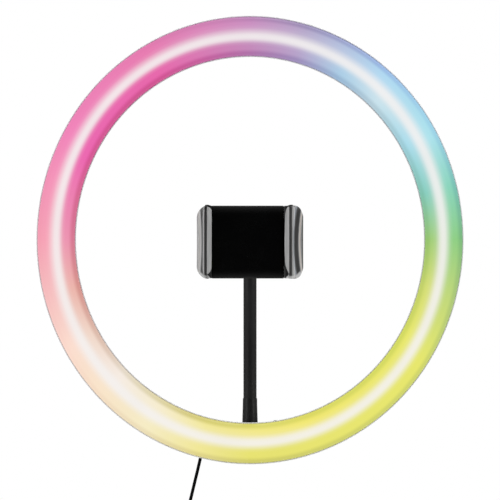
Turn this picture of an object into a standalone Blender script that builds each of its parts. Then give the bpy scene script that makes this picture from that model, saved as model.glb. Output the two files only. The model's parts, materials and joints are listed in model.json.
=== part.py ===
"""Ring light head with a tilting tripod foot, a gooseneck phone clamp and a corded remote.

Frame: the ring stands in the XZ plane and shines towards -Y, +Z is up.  The origin lies on the
foot's flat seating face, on solid material behind the tripod socket, whose axis is vertical and
passes through (0, SOCKET_Y).  All dimensions below are millimetres.
"""

import math

import bmesh
import bpy
from mathutils import Matrix, Vector

MM = 0.001
GAP = 0.3  # assembly gap between neighbouring pieces
FRONT, BACK = Vector((0.0, -1.0, 0.0)), Vector((0.0, 1.0, 0.0))
RIGHT, UP = Vector((1.0, 0.0, 0.0)), Vector((0.0, 0.0, 1.0))

# ---------------------------------------------------------------- driving dimensions
SOCKET_Y = -7.5  # tripod socket and tilt axis, in front of the origin
TILT_Z = 14.5  # height of the tilt axis over the seating face
TILT = (0.0, SOCKET_Y, TILT_Z)

RING_Z = 127.5  # ring centre over the seating face
SPLIT_Y = SOCKET_Y - 30.0  # plane where the diffuser meets the rear housing
RING_AT = (0.0, SPLIT_Y, RING_Z)
RING_R_OUT = 130.0
RING_R_IN = 106.0
RING_R_MID = 0.5 * (RING_R_OUT + RING_R_IN)
RING_STEPS = 44
HOUSING_DEPTH = 10.0
CREST_HEIGHT = 12.3  # diffuser crest in front of the split
RIM, WALL = 0.5, 2.0  # thickness of the housing's front rim and of its walls
SCREW_ANGLES = [60.0 * k for k in range(6)]
CABLE_HOLE = (-27.5, SPLIT_Y + HOUSING_DEPTH, 11.0)
BRACKET_SCREWS = [(-13.5, 10.5), (13.5, 10.5)]  # x, z

NECK_R = 4.0
NECK_Y = SOCKET_Y - 14.2
NECK_Z0 = 36.2  # first hinge of the gooseneck
NECK_LINKS = 6
NECK_GAP = 1.4
NECK_BEND_R = 17.0

BALL_Y = SOCKET_Y - 28.0
BALL_Z = RING_Z - 1.6
BALL = (0.0, BALL_Y, BALL_Z)
BALL_R = 6.5

JAW_OUT = 32.5  # outer face of the jaw pads, from the middle
CABLE_R = 1.0
FLOOR_Z = -48.0
REMOTE_AT = (18.0, 62.0, FLOOR_Z)
REMOTE_YAW = math.radians(12.0)

# ---------------------------------------------------------------- clean start
for old in list(bpy.data.objects):
    bpy.data.objects.remove(old, do_unlink=True)
for old in list(bpy.data.collections):
    bpy.data.collections.remove(old)

PARTS = bpy.data.collections.new("ring_light")
CUTTERS = bpy.data.collections.new("ring_light_cutters")
bpy.context.scene.collection.children.link(PARTS)
bpy.context.scene.collection.children.link(CUTTERS)


# ---------------------------------------------------------------- materials
def material(name, colour, roughness, metallic=0.0, transmission=0.0):
    mat = bpy.data.materials.new(name)
    mat.use_nodes = True
    shader = mat.node_tree.nodes["Principled BSDF"]
    shader.inputs["Base Color"].default_value = (*colour, 1.0)
    shader.inputs["Roughness"].default_value = roughness
    shader.inputs["Metallic"].default_value = metallic
    shader.inputs["Transmission Weight"].default_value = transmission
    mat.diffuse_color = (*colour, 1.0)
    return mat


OPAL = material("opal_diffuser", colour=(0.90, 0.80, 0.86), roughness=0.32)
WHITE = material("white_abs", colour=(0.83, 0.83, 0.84), roughness=0.42)
BLACK = material("black_abs", colour=(0.012, 0.012, 0.013), roughness=0.34)
MATTE = material("matte_black_rubber", colour=(0.020, 0.020, 0.021), roughness=0.70)
CLEAR = material("smoky_silicone", colour=(0.30, 0.30, 0.30), roughness=0.16, transmission=0.6)
CABLE = material("cable_pvc", colour=(0.016, 0.016, 0.017), roughness=0.48)
STEEL = material("zinc_steel", colour=(0.55, 0.56, 0.58), roughness=0.32, metallic=1.0)
BRASS = material("brass", colour=(0.72, 0.52, 0.22), roughness=0.34, metallic=1.0)
NYLON = material("natural_nylon", colour=(0.78, 0.77, 0.72), roughness=0.50)
BOARD = material("circuit_board", colour=(0.80, 0.81, 0.80), roughness=0.45)
GREEN_BOARD = material("remote_board", colour=(0.03, 0.16, 0.07), roughness=0.45)
KEYS = material("grey_keys", colour=(0.20, 0.20, 0.21), roughness=0.55)

# ---------------------------------------------------------------- groups of pieces
EMPTIES, ORIGINS = {}, {}


def add_group(name, place, parent=None, yaw=0.0, local=False):
    """An empty on a moving group's axis.  With local set, its pieces are given in its own frame."""
    empty = bpy.data.objects.new(name + "_pivot", None)
    empty.empty_display_size = 0.01
    PARTS.objects.link(empty)
    offset = Vector(place)
    if parent:
        empty.parent = EMPTIES[parent]
        offset = offset - ORIGINS[parent]
    empty.location = offset * MM
    empty.rotation_euler = (0.0, 0.0, yaw)
    EMPTIES[name] = empty
    ORIGINS[name] = Vector((0.0, 0.0, 0.0)) if local else Vector(place)


def adopt(obj, group, mat):
    """Put an object in its group.  One without a material is a helper that shapes others."""
    obj.parent = EMPTIES[group]
    if mat:
        PARTS.objects.link(obj)
        obj.data.materials.append(mat)
    else:
        CUTTERS.objects.link(obj)
        obj.hide_render = True
        obj.display_type = "WIRE"


def add_mesh(name, mesh, group, mat, smooth=40.0):
    """An object of a finished mesh, shaded smooth below an angle in degrees."""
    obj = bpy.data.objects.new(name, mesh)
    adopt(obj, group, mat)
    mesh.shade_smooth()
    mesh.set_sharp_from_angle(angle=math.radians(smooth))
    return obj


# ---------------------------------------------------------------- shape makers
class Shape:
    """Primitives gathered into one mesh object, given in the group's coordinates."""

    def __init__(self, group):
        self.group, self.origin, self.bmesh = group, ORIGINS[group], bmesh.new()

    def box(self, low, high, turn=Matrix.Identity(4)):
        """A box between two corners, turned about its middle."""
        low, high = Vector(low), Vector(high)
        middle = Matrix.Translation(((low + high) / 2 - self.origin) * MM)
        size = Matrix.Diagonal((*((high - low) * MM), 1.0))
        bmesh.ops.create_cube(self.bmesh, size=1.0, matrix=middle @ turn @ size)
        return self

    def rod(self, start, end, radius, sides=16, end_radius=None):
        """A rod, or a cone if it has an end radius, between two points."""
        start, end = (Vector(start) - self.origin) * MM, (Vector(end) - self.origin) * MM
        axis = end - start
        turn = axis.to_track_quat("Z", "Y").to_matrix().to_4x4()
        bmesh.ops.create_cone(
            self.bmesh,
            cap_ends=True,
            segments=sides,
            radius1=radius * MM,
            radius2=(radius if end_radius is None else end_radius) * MM,
            depth=axis.length,
            matrix=Matrix.Translation((start + end) / 2) @ turn,
        )
        return self

    def rods(self, axis, places, start, end, radius, sides=16, end_radius=None):
        """Rods from start to end along X, Y or Z.  Places give the two other coordinates."""
        position = "XYZ".index(axis)
        for place in places:
            ends = [(*place[:position], value, *place[position:]) for value in (start, end)]
            self.rod(*ends, radius, sides, end_radius)
        return self

    def make(self, name, mat=None):
        bmesh.ops.recalc_face_normals(self.bmesh, faces=self.bmesh.faces)
        mesh = bpy.data.meshes.new(name)
        self.bmesh.to_mesh(mesh)
        self.bmesh.free()
        return add_mesh(name, mesh, self.group, mat)


def turned(name, profile, place, axis, group, mat, steps=24, closed=True):
    """A profile of (radius, height along axis) turned about an axis through a place.  Its outer
    side runs from the top down; an open profile starts and ends on the axis."""
    mesh = bpy.data.meshes.new(name)
    count = len(profile)
    edges = [(k, k + 1) for k in range(count - 1)] + ([(count - 1, 0)] if closed else [])
    mesh.from_pydata([(radius * MM, 0.0, height * MM) for radius, height in profile], edges, [])
    obj = bpy.data.objects.new(name, mesh)
    adopt(obj, group, mat)
    obj.location = (Vector(place) - ORIGINS[group]) * MM
    obj.rotation_euler = axis.to_track_quat("Z", "Y").to_euler()
    turn = obj.modifiers.new("turn", "SCREW")
    turn.axis = "Z"
    turn.angle = 2.0 * math.pi
    turn.steps = turn.render_steps = steps
    turn.use_merge_vertices = True
    turn.merge_threshold = 0.000002
    turn.use_smooth_shade = True
    return obj


# Turns from the outline's plane to the piece's, by the axis of thickness.
PLANES = {
    "X": Matrix(((0, 0, 1, 0), (1, 0, 0, 0), (0, 1, 0, 0), (0, 0, 0, 1))),
    "Y": Matrix(((1, 0, 0, 0), (0, 0, -1, 0), (0, 1, 0, 0), (0, 0, 0, 1))),
    "Z": Matrix.Identity(4),
}


def prism(name, outline, axis, low, high, group, mat=None, smooth=40.0):
    """A flat outline given thickness from low to high along an axis.  The outline is (y, z) for
    X, (x, z) for Y and (x, y) for Z."""
    curve = bpy.data.curves.new(name + "_outline", "CURVE")
    curve.dimensions = "2D"
    curve.fill_mode = "BOTH"
    curve.extrude = 0.5 * (high - low) * MM
    spline = curve.splines.new("POLY")
    spline.points.add(len(outline) - 1)
    for point, (across, along) in zip(spline.points, outline):
        point.co = (across * MM, along * MM, 0.0, 1.0)
    spline.use_cyclic_u = True
    guide = bpy.data.objects.new(name + "_outline", curve)
    CUTTERS.objects.link(guide)
    bpy.context.view_layer.update()
    graph = bpy.context.evaluated_depsgraph_get()
    mesh = bpy.data.meshes.new_from_object(guide.evaluated_get(graph))
    bpy.data.objects.remove(guide, do_unlink=True)
    mesh.name = name
    middle = 0.5 * (low + high) * (-1.0 if axis == "Y" else 1.0)
    shift = Matrix.Translation((0.0, 0.0, middle * MM))
    mesh.transform(Matrix.Translation(-ORIGINS[group] * MM) @ PLANES[axis] @ shift)
    # The curve's caps and sides come apart, so they are joined here.
    joined = bmesh.new()
    joined.from_mesh(mesh)
    bmesh.ops.remove_doubles(joined, verts=joined.verts, dist=1e-6)
    bmesh.ops.recalc_face_normals(joined, faces=joined.faces)
    joined.to_mesh(mesh)
    joined.free()
    mesh.materials.clear()
    return add_mesh(name, mesh, group, mat, smooth)


def tube(name, points, radius, group, mat, resolution):
    """A round tube or wire along points."""
    curve = bpy.data.curves.new(name, "CURVE")
    curve.dimensions = "3D"
    curve.bevel_depth = radius * MM
    curve.bevel_resolution = resolution
    curve.use_fill_caps = True
    spline = curve.splines.new("POLY")
    spline.points.add(len(points) - 1)
    for knot, point in zip(spline.points, points):
        knot.co = (*((Vector(point) - ORIGINS[group]) * MM), 1.0)
    spline.use_smooth = True
    adopt(bpy.data.objects.new(name, curve), group, mat)


def boolean(obj, operation, tools):
    for tool in tools:
        modifier = obj.modifiers.new(operation.lower(), "BOOLEAN")
        modifier.operation = operation
        modifier.solver = "EXACT"
        modifier.object = tool


def cut(obj, *tools):
    boolean(obj, "DIFFERENCE", tools)


def fuse(obj, *tools):
    boolean(obj, "UNION", tools)


def bevel(obj, width, segments, angle=35.0):
    """Bevel the edges sharper than an angle in degrees."""
    modifier = obj.modifiers.new("edges", "BEVEL")
    modifier.width = width * MM
    modifier.segments = segments
    modifier.limit_method = "ANGLE"
    modifier.angle_limit = math.radians(angle)
    modifier.use_clamp_overlap = True


def screw(name, head_at, length, head_r, head_height, shank_r, group):
    """A steel pan-head screw driven forwards: its head's outer face at head_at."""
    profile = [
        (0.0, 0.0),
        (head_r * 0.82, 0.0),
        (head_r, -0.35 * head_height),
        (head_r, -head_height),
        (shank_r, -head_height),
        (shank_r, -length + 0.8),
        (shank_r * 0.3, -length),
        (0.0, -length),
    ]
    turned(name, profile, head_at, -FRONT, group, STEEL, steps=8, closed=False)


# ---------------------------------------------------------------- outlines and paths
def arc(centre_x, centre_y, radius_x, radius_y, start, stop, count):
    """Points of an elliptic arc in degrees, ends included."""
    out = []
    for k in range(count + 1):
        angle = math.radians(start + (stop - start) * k / count)
        out.append((centre_x + radius_x * math.cos(angle), centre_y + radius_y * math.sin(angle)))
    return out


def rounded(x_min, x_max, y_min, y_max, radius, count=3):
    """A rounded rectangle's outline, counter-clockwise."""
    corners = [
        (x_max - radius, y_max - radius, 0),
        (x_min + radius, y_max - radius, 90),
        (x_min + radius, y_min + radius, 180),
        (x_max - radius, y_min + radius, 270),
    ]
    out = []
    for x, y, start in corners:
        out += arc(x, y, radius, radius, start, start + 90, count)
    return out


def flow(points, per_leg):
    """A smooth path (Catmull-Rom) through points, with per_leg steps between each two."""
    knots = [Vector(point) for point in points]
    knots = [2 * knots[0] - knots[1]] + knots + [2 * knots[-1] - knots[-2]]
    out = []
    for before, start, end, after in zip(knots, knots[1:], knots[2:], knots[3:]):
        for k in range(per_leg):
            t = k / per_leg
            out.append(
                0.5
                * (
                    2 * start
                    + (end - before) * t
                    + (2 * before - 5 * start + 4 * end - after) * t**2
                    + (3 * start - before - 3 * end + after) * t**3
                )
            )
    return out + [knots[-2]]


def neck_line(samples=400):
    """The gooseneck's centre line: it leaves the base upwards, leans back, and hooks forward
    behind the clamp.  Returns points and their distances along the line."""
    top_y = BALL_Y + 18.8 + NECK_BEND_R
    bend_z = BALL_Z - NECK_BEND_R
    points = []
    for k in range(samples + 1):
        t = k / samples
        y = NECK_Y + (top_y - NECK_Y) * (3 * t * t - 2 * t**3)
        points.append(Vector((0.0, y, NECK_Z0 + (bend_z - NECK_Z0) * t)))
    for k in range(1, samples + 1):
        angle = math.radians(90.0 * k / samples)
        y = top_y - NECK_BEND_R * (1 - math.cos(angle))
        points.append(Vector((0.0, y, bend_z + NECK_BEND_R * math.sin(angle))))
    lengths = [0.0]
    for start, end in zip(points, points[1:]):
        lengths.append(lengths[-1] + (end - start).length)
    return points, lengths


NECK_POINTS, NECK_LENGTHS = neck_line()
NECK_LENGTH = NECK_LENGTHS[-1]


def on_neck(distance):
    """The point at a distance along the gooseneck's centre line."""
    for k in range(1, len(NECK_LENGTHS)):
        if NECK_LENGTHS[k] >= distance:
            leg = NECK_LENGTHS[k] - NECK_LENGTHS[k - 1]
            share = (distance - NECK_LENGTHS[k - 1]) / leg
            return NECK_POINTS[k - 1].lerp(NECK_POINTS[k], share)
    return NECK_POINTS[-1]


# ---------------------------------------------------------------- the moving groups
def add_groups():
    add_group("root", (0, 0, 0))
    add_group("head", TILT, "root")
    add_group("tilt_knob", TILT, "head")
    parent = "head"
    for link in range(NECK_LINKS):
        name = f"neck_{link + 1}"
        add_group(name, on_neck(NECK_LENGTH * link / NECK_LINKS), parent)
        parent = name
    add_group("ball", BALL, parent)
    add_group("liner", BALL, "ball")
    add_group("clamp", BALL, "liner")
    add_group("collar", BALL, "clamp")
    add_group("jaw", (JAW_OUT, BALL_Y, BALL_Z), "clamp")
    add_group("remote", REMOTE_AT, "root", yaw=REMOTE_YAW, local=True)


# ---------------------------------------------------------------- light ring
# Heights are measured in front of the split.
def on_ring(angle, height):
    """A point on the ring's middle circle: angle in degrees from +X."""
    turn = math.radians(angle)
    x, z = RING_R_MID * math.cos(turn), RING_Z + RING_R_MID * math.sin(turn)
    return (x, SPLIT_Y - height, z)


def ring_rods(start, end, radius, sides):
    """A shape with one rod at each ring screw, between two heights."""
    shape = Shape("head")
    for angle in SCREW_ANGLES:
        shape.rod(on_ring(angle, start), on_ring(angle, end), radius, sides)
    return shape


def build_housing():
    """Rear housing: a round channel, open to the front, with a thin rim around the diffuser."""
    back, rim_height = -HOUSING_DEPTH, 1.2
    profile = [
        # outside, from the outer rim round the back to the inner rim
        (RING_R_OUT, rim_height),
        (RING_R_OUT, back + 3.2),
        (RING_R_OUT - 1.0, back + 1.0),
        (RING_R_OUT - 3.2, back),
        (RING_R_IN + 3.2, back),
        (RING_R_IN + 1.0, back + 1.0),
        (RING_R_IN, back + 3.2),
        (RING_R_IN, rim_height),
        # inside, back to the outer rim
        (RING_R_IN + RIM, rim_height),
        (RING_R_IN + RIM, 0.0),
        (RING_R_IN + WALL, 0.0),
        (RING_R_IN + WALL, back + 3.8),
        (RING_R_IN + WALL + 1.5, back + 1.8),
        (RING_R_OUT - WALL - 1.5, back + 1.8),
        (RING_R_OUT - WALL, back + 3.8),
        (RING_R_OUT - WALL, 0.0),
        (RING_R_OUT - RIM, 0.0),
        (RING_R_OUT - RIM, rim_height),
    ]
    housing = turned("rear_housing", profile, RING_AT, FRONT, "head", WHITE, RING_STEPS)
    bosses = ring_rods(-9.0, -4.6, 4.2, sides=12)
    bosses.rods("Y", BRACKET_SCREWS, SPLIT_Y + 9.0, SPLIT_Y + 4.6, 3.4)
    bores = ring_rods(-9.0, -4.0, 1.6, sides=8)
    bores.rods("Y", BRACKET_SCREWS, SPLIT_Y + 11.0, SPLIT_Y + 5.2, 1.6, sides=10)
    x, y, z = CABLE_HOLE
    bores.rods("Y", [(x, z)], y + 1.0, y - 3.0, 3.0)
    fuse(housing, bosses.make("housing_bosses"))
    counterbores = ring_rods(-11.0, -8.0, 2.9, sides=10)
    cut(housing, bores.make("housing_bores"), counterbores.make("housing_counterbores"))


def build_diffuser():
    """Diffuser: a translucent half-round shell with a skirt inside the housing walls."""
    half = 0.5 * (RING_R_OUT - RING_R_IN) - (RIM + GAP)
    crest = arc(RING_R_MID, GAP, half, CREST_HEIGHT - GAP, 0, 180, 10)
    inside = arc(RING_R_MID, 1.0, half - 2.7, CREST_HEIGHT - 2.8, 0, 180, 4)
    skirt_out, skirt_in = RING_R_OUT - WALL - GAP, RING_R_IN + WALL + GAP
    skirt_end, skirt_wall = -2.5, 1.2
    profile = crest[5::-1]  # from the crest down the outer side
    profile += [
        (skirt_out, GAP),
        (skirt_out, skirt_end),
        (skirt_out - skirt_wall, skirt_end),
        *inside,
        (skirt_in + skirt_wall, skirt_end),
        (skirt_in, skirt_end),
        (skirt_in, GAP),
    ]
    profile += crest[:5:-1]  # and up the inner side
    diffuser = turned("diffuser", profile, RING_AT, FRONT, "head", OPAL, RING_STEPS)
    fuse(diffuser, ring_rods(-2.8, 11.3, 2.4, sides=8).make("diffuser_posts"))
    cut(diffuser, ring_rods(-4.0, 3.6, 1.55, sides=6).make("diffuser_pilots"))


def build_led_board():
    """Light board: a flat ring with its light packages standing on it."""
    outer, inner, front, back = RING_R_MID + 7.5, RING_R_MID - 7.5, -3.1, -4.3
    profile = [(outer, front), (outer, back), (inner, back), (inner, front)]
    board = turned("led_board", profile, RING_AT, FRONT, "head", BOARD, RING_STEPS)
    package_count, half_side, half_depth = 24, 2.5, 0.9
    pitch = 360.0 / package_count
    half_size = Vector((half_side, half_depth, half_side))
    packages = Shape("head")
    for k in range(package_count):
        angle = 0.5 * pitch + pitch * k
        middle = Vector(on_ring(angle, -2.4))
        turn = Matrix.Rotation(-math.radians(angle), 4, "Y")
        packages.box(middle - half_size, middle + half_size, turn)
    cut(board, ring_rods(-6.0, -1.0, 1.8, sides=8).make("board_holes"))
    fuse(board, packages.make("led_packages"))


def build_housing_screws():
    for number, angle in enumerate(SCREW_ANGLES, 1):
        head_at = on_ring(angle, -HOUSING_DEPTH + 0.2)
        screw(f"housing_screw_{number}", head_at, 12.8, 2.5, 1.5, 1.25, "head")


def build_cable_grommet():
    """Cable grommet: it grips the rear wall and stiffens the cable where it leaves."""
    profile = [
        (2.0, 9.0), (2.9, 1.8), (4.2, 1.6), (4.2, 0.3), (2.7, 0.3),
        (2.7, -2.1), (3.9, -2.1), (3.9, -3.1), (1.35, -3.1), (1.35, 9.0),
    ]
    turned("cable_grommet", profile, CABLE_HOLE, BACK, "head", CABLE, 16)


# ---------------------------------------------------------------- rear bracket and tilt joint
TILT_YZ = [(SOCKET_Y, TILT_Z)]
KNUCKLE_R = 5.5  # rounded ends of the bracket and of the foot's tongue
BRACKET_FRONT = -19.7  # bracket's front face, from the tilt axis
BOLT_WAY_R = 2.8  # every hole the tilt bolt passes through
HEX = 6  # sides of the bolt head and the nut


def from_tilt(points):
    """(y, z) points measured from the tilt axis, in the object's frame."""
    return [(SOCKET_Y + y, TILT_Z + z) for y, z in points]


def tilt_rod(name, group, start, end, radius, sides=16, end_radius=None, mat=None):
    """A rod on the tilt axis between two x."""
    rod = Shape(group).rods("X", TILT_YZ, start, end, radius, sides, end_radius)
    return rod.make(name, mat)


def build_bracket():
    """Rear bracket: a forked knuckle behind a flange that screws to the housing."""
    side = [(BRACKET_FRONT, 3.7), (BRACKET_FRONT, -11.5), (-13.0, -11.5), (-9.3, -3.2), (-9.1, -2.2)]
    side += arc(0, 0, KNUCKLE_R, KNUCKLE_R, -113, 97, 8)
    side += [(-9.0, 3.7)]
    bracket = prism("rear_bracket", from_tilt(side), "X", -9.5, 9.5, "head", BLACK)
    flange = rounded(-17.3, 17.3, 3.2, 18.0, 3.0)
    flange_y = (SOCKET_Y + BRACKET_FRONT, SOCKET_Y - 15.0)
    fuse(bracket, prism("bracket_flange", flange, "Y", *flange_y, "head"))
    slot = Shape("head").box((-4.4, SOCKET_Y - 7.0, 4.0), (4.4, SOCKET_Y + 9.0, 24.0))
    neck_way = Shape("head").rods("Z", [(0, NECK_Y)], 10.4, 20.0, 3.7)
    screw_ways = Shape("head")
    screw_ways.rods("Y", BRACKET_SCREWS, SOCKET_Y - 21.0, SOCKET_Y - 14.0, 1.6, sides=10)
    cut(
        bracket,
        slot.make("tongue_slot"),
        tilt_rod("bolt_way", "head", -12, 12, BOLT_WAY_R),
        tilt_rod("bolt_head_way", "head", -7.9, -12, 4.95, HEX),
        neck_way.make("neck_way"),
        screw_ways.make("bracket_screw_ways"),
    )
    for number, (x, z) in enumerate(BRACKET_SCREWS, 1):
        head_at = (x, SOCKET_Y - 12.9, z)
        screw(f"bracket_screw_{number}", head_at, 11.6, 2.7, 1.8, 1.3, "head")


def build_tilt_bolt():
    """Hexagon bolt with its head on the left, and the washer under the knob."""
    bolt = tilt_rod("tilt_bolt", "head", -8.2, -11.4, 4.6, HEX, mat=STEEL)
    fuse(bolt, tilt_rod("bolt_shank", "head", -9.0, 21.0, 2.5))
    washer = [(5.6, 10.8), (5.6, 9.8), (BOLT_WAY_R, 9.8), (BOLT_WAY_R, 10.8)]
    turned("knob_washer", washer, TILT, RIGHT, "head", STEEL)


def build_tilt_knob():
    """Tilt knob: scalloped grip on a hub, with a brass nut in its inner end."""
    grip_r, scallop_depth, scallops, count = 8.2, 0.75, 6, 36
    grip = []
    for k in range(count):
        angle = 2 * math.pi * k / count
        dip = (0.5 + 0.5 * math.cos(scallops * angle)) ** 2
        radius = grip_r - scallop_depth * dip
        grip.append((radius * math.cos(angle), radius * math.sin(angle)))
    group = "tilt_knob"
    knob = prism("tilt_knob", from_tilt(grip), "X", 14.0, 25.0, group, BLACK, smooth=50)
    bevel(knob, 0.8, 1, angle=60)
    fuse(knob, tilt_rod("knob_hub", group, 11.1, 15.0, 6.2, 20, end_radius=6.6))
    cut(
        knob,
        tilt_rod("knob_bore", group, 10.5, 21.6, BOLT_WAY_R),
        tilt_rod("nut_pocket", group, 10.4, 14.9, 4.7, HEX),
    )
    nut = tilt_rod("knob_nut", group, 11.4, 14.6, 4.35, HEX, mat=BRASS)
    cut(nut, tilt_rod("nut_bore", group, 11.0, 15.0, BOLT_WAY_R))


def build_foot():
    """Foot: the block that screws onto a tripod, with the tongue of the tilt joint on top."""
    block = Shape("root").box((-10.5, SOCKET_Y - 7.0, 0.0), (10.5, SOCKET_Y + 12.0, 8.4))
    foot = block.make("foot", BLACK)
    bevel(foot, 1.2, 2)
    tongue = from_tilt(arc(0, 0, KNUCKLE_R, KNUCKLE_R, 0, 180, 8))
    tongue += [(SOCKET_Y - KNUCKLE_R, 7.6), (SOCKET_Y + KNUCKLE_R, 7.6)]
    fuse(foot, prism("foot_tongue", tongue, "X", -3.0, 3.0, "root"))
    pocket = Shape("root").rods("Z", [(0, SOCKET_Y)], -1.0, 7.0, 4.3, sides=20)
    cut(foot, tilt_rod("tongue_bore", "root", -5, 5, BOLT_WAY_R), pocket.make("insert_pocket"))


def build_tripod_insert():
    """Waisted brass socket in the foot's underside."""
    profile = [
        (3.8, 6.7), (4.0, 6.4), (4.0, 4.2), (3.7, 3.8), (4.0, 3.4),
        (4.0, 0.8), (3.8, 0.4), (2.95, 0.4), (2.7, 0.9), (2.7, 6.7),
    ]
    turned("tripod_insert", profile, (0, SOCKET_Y, 0), UP, "root", BRASS, 16)


def build_friction_washers():
    """Nylon washers on both sides of the foot's tongue."""
    profile = [(5.3, 0.8), (5.3, 0.0), (BOLT_WAY_R, 0.0), (BOLT_WAY_R, 0.8)]
    for side, x in (("left", -4.1), ("right", 3.3)):
        place = (x, SOCKET_Y, TILT_Z)
        turned(f"friction_washer_{side}", profile, place, RIGHT, "root", NYLON, 20)


# ---------------------------------------------------------------- gooseneck
NECK_FOOT = (0, NECK_Y, 0)
NECK_CAP_R = 4.75  # widest radius of the neck's base and of its end piece


def build_neck_insert():
    """Brass insert in the bracket, with a groove round its middle."""
    profile = [
        (3.4, 18.0), (3.4, 15.4), (3.1, 14.8), (3.4, 14.2),
        (3.4, 11.6), (2.4, 11.6), (2.4, 18.0),
    ]
    turned("neck_insert", profile, NECK_FOOT, UP, "head", BRASS, 16)


def build_neck_base():
    """Tapered lower end of the gooseneck, with a stud that enters the insert."""
    profile = [
        (0.0, NECK_Z0 - 0.7),
        (NECK_R + 0.33, NECK_Z0 - 0.7),
        (NECK_R + 0.38, NECK_Z0 - 4.0),
        (NECK_CAP_R, 20.0),
        (NECK_CAP_R, 18.5),
        (2.1, 18.5),
        (2.1, 12.4),
        (1.7, 12.0),
        (0.0, 12.0),
    ]
    turned("neck_base", profile, NECK_FOOT, UP, "head", MATTE, 20, closed=False)


def build_neck_links():
    """Gooseneck links, with a gap at each hinge but none at the upper end."""
    for link in range(NECK_LINKS):
        start = NECK_LENGTH * link / NECK_LINKS + 0.5 * NECK_GAP
        end_gap = 0.0 if link == NECK_LINKS - 1 else 0.5 * NECK_GAP
        stop = NECK_LENGTH * (link + 1) / NECK_LINKS - end_gap
        points = [on_neck(start + (stop - start) * k / 4) for k in range(5)]
        tube(f"neck_link_{link + 1}", points, NECK_R, f"neck_{link + 1}", MATTE, resolution=3)


def build_neck_end():
    """Cup on the gooseneck's upper end, open towards the ball; heights from the ball's centre."""
    profile = [
        (0.0, 18.0),
        (4.4, 18.0),
        (NECK_CAP_R, 17.3),
        (NECK_CAP_R, 11.2),
        (4.3, 10.4),
        (2.5, 10.4),
        (2.5, 16.4),
        (0.0, 16.4),
    ]
    turned("neck_end", profile, BALL, BACK, f"neck_{NECK_LINKS}", BLACK, 20, closed=False)


# ---------------------------------------------------------------- ball joint
# Heights run backwards (+Y) from the ball's centre.
def build_ball_stud():
    stem_r = 2.2
    reach = math.sqrt(BALL_R**2 - stem_r**2)  # height where the stem leaves the ball
    start = math.degrees(math.asin(reach / BALL_R))
    profile = [(0.0, 15.6), (stem_r - 0.4, 15.6), (stem_r, 15.2), (stem_r, reach)]
    profile += arc(0, 0, BALL_R, BALL_R, start - 8, -90, 9)[:-1]
    profile += [(0.0, -BALL_R)]
    turned("ball_stud", profile, BALL, BACK, "ball", STEEL, 18, closed=False)


def build_ball_liner():
    """Nylon ring that holds the ball."""
    cup_r = BALL_R + GAP
    profile = [(8.6, 3.8), (8.6, -5.9)] + arc(0, 0, cup_r, cup_r, -60, 34, 6)
    turned("ball_liner", profile, BALL, BACK, "liner", NYLON, 20)


def build_lock_collar():
    """Collar round the ball socket, with grip grooves along its outside."""
    profile = [
        (12.7, 5.6), (13.2, 5.0), (13.2, -5.0), (12.8, -5.6),
        (11.3, -5.6), (11.3, 4.1), (7.2, 4.1), (7.2, 5.6),
    ]
    collar = turned("lock_collar", profile, BALL, BACK, "collar", BLACK, 20)
    groove_count, groove_at_r = 10, 13.75
    places = []
    for k in range(groove_count):
        angle = math.radians(360.0 / groove_count * k + 9.0)
        z = BALL_Z + groove_at_r * math.cos(angle)
        places.append((groove_at_r * math.sin(angle), z))
    grooves = Shape("collar").rods("Y", places, BALL_Y - 7.0, BALL_Y + 7.0, 1.2, sides=6)
    cut(collar, grooves.make("collar_grooves"))


# ---------------------------------------------------------------- phone clamp
# Depths are Y behind the ball's centre; negative is in front.  Heights are Z over it.
CLAMP_HALF_H = 21.1
JAW_HALF_H = CLAMP_HALF_H - 0.15
PAD_HALF_H = 20.9
CLAMP_X_MIN, CLAMP_X_MAX = -23.5, 20.7
BODY_BACK, BODY_FRONT = -9.3, -19.3
WEB_BACK = -14.0  # back face of each jaw's web
POST_FRONT = -18.4  # where posts, pegs and rails start inside the body's front wall
FIXED_LIP, MOVING_LIP = 25.0, 22.9  # how far in each jaw's front lip reaches, from the middle
COVER_SCREWS = [(x, BALL_Z + z) for x in (-18.6, 15.8) for z in (-16.6, 16.6)]
SPRING_Z = (-8.0, 8.0)


def at_ball(x, depth, height):
    return (x, BALL_Y + depth, BALL_Z + height)


def clamp_rods(name, places, start, end, radius, sides, group="clamp"):
    """Helper rods at (x, z) places between two depths."""
    shape = Shape(group).rods("Y", places, BALL_Y + start, BALL_Y + end, radius, sides)
    return shape.make(name)


def spring_places(x):
    return [(x, BALL_Z + z) for z in SPRING_Z]


def clamp_section(sign, section):
    """(x, depth) points with x mirrored for the left side, in the object's frame."""
    return [(sign * x, BALL_Y + depth) for x, depth in section]


def clamp_prism(name, section, half_height, group, mat=None):
    low, high = BALL_Z - half_height, BALL_Z + half_height
    return prism(name, section, "Z", low, high, group, mat)


def jaw_section(sign, inner, lip):
    """One jaw's web, arm and front lip."""
    section = [
        (inner, BODY_FRONT + 0.4),
        (28.0, BODY_FRONT + 0.4),
        (28.0, -30.8),
        (lip, -30.8),
        (lip + 0.3, -32.4),
        (lip + 1.2, -33.0),
        (30.2, -33.0),
        (31.0, -32.2),
        (31.0, -15.4),
        (29.6, WEB_BACK),
        (inner, WEB_BACK),
    ]
    return clamp_section(sign, section)


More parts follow.
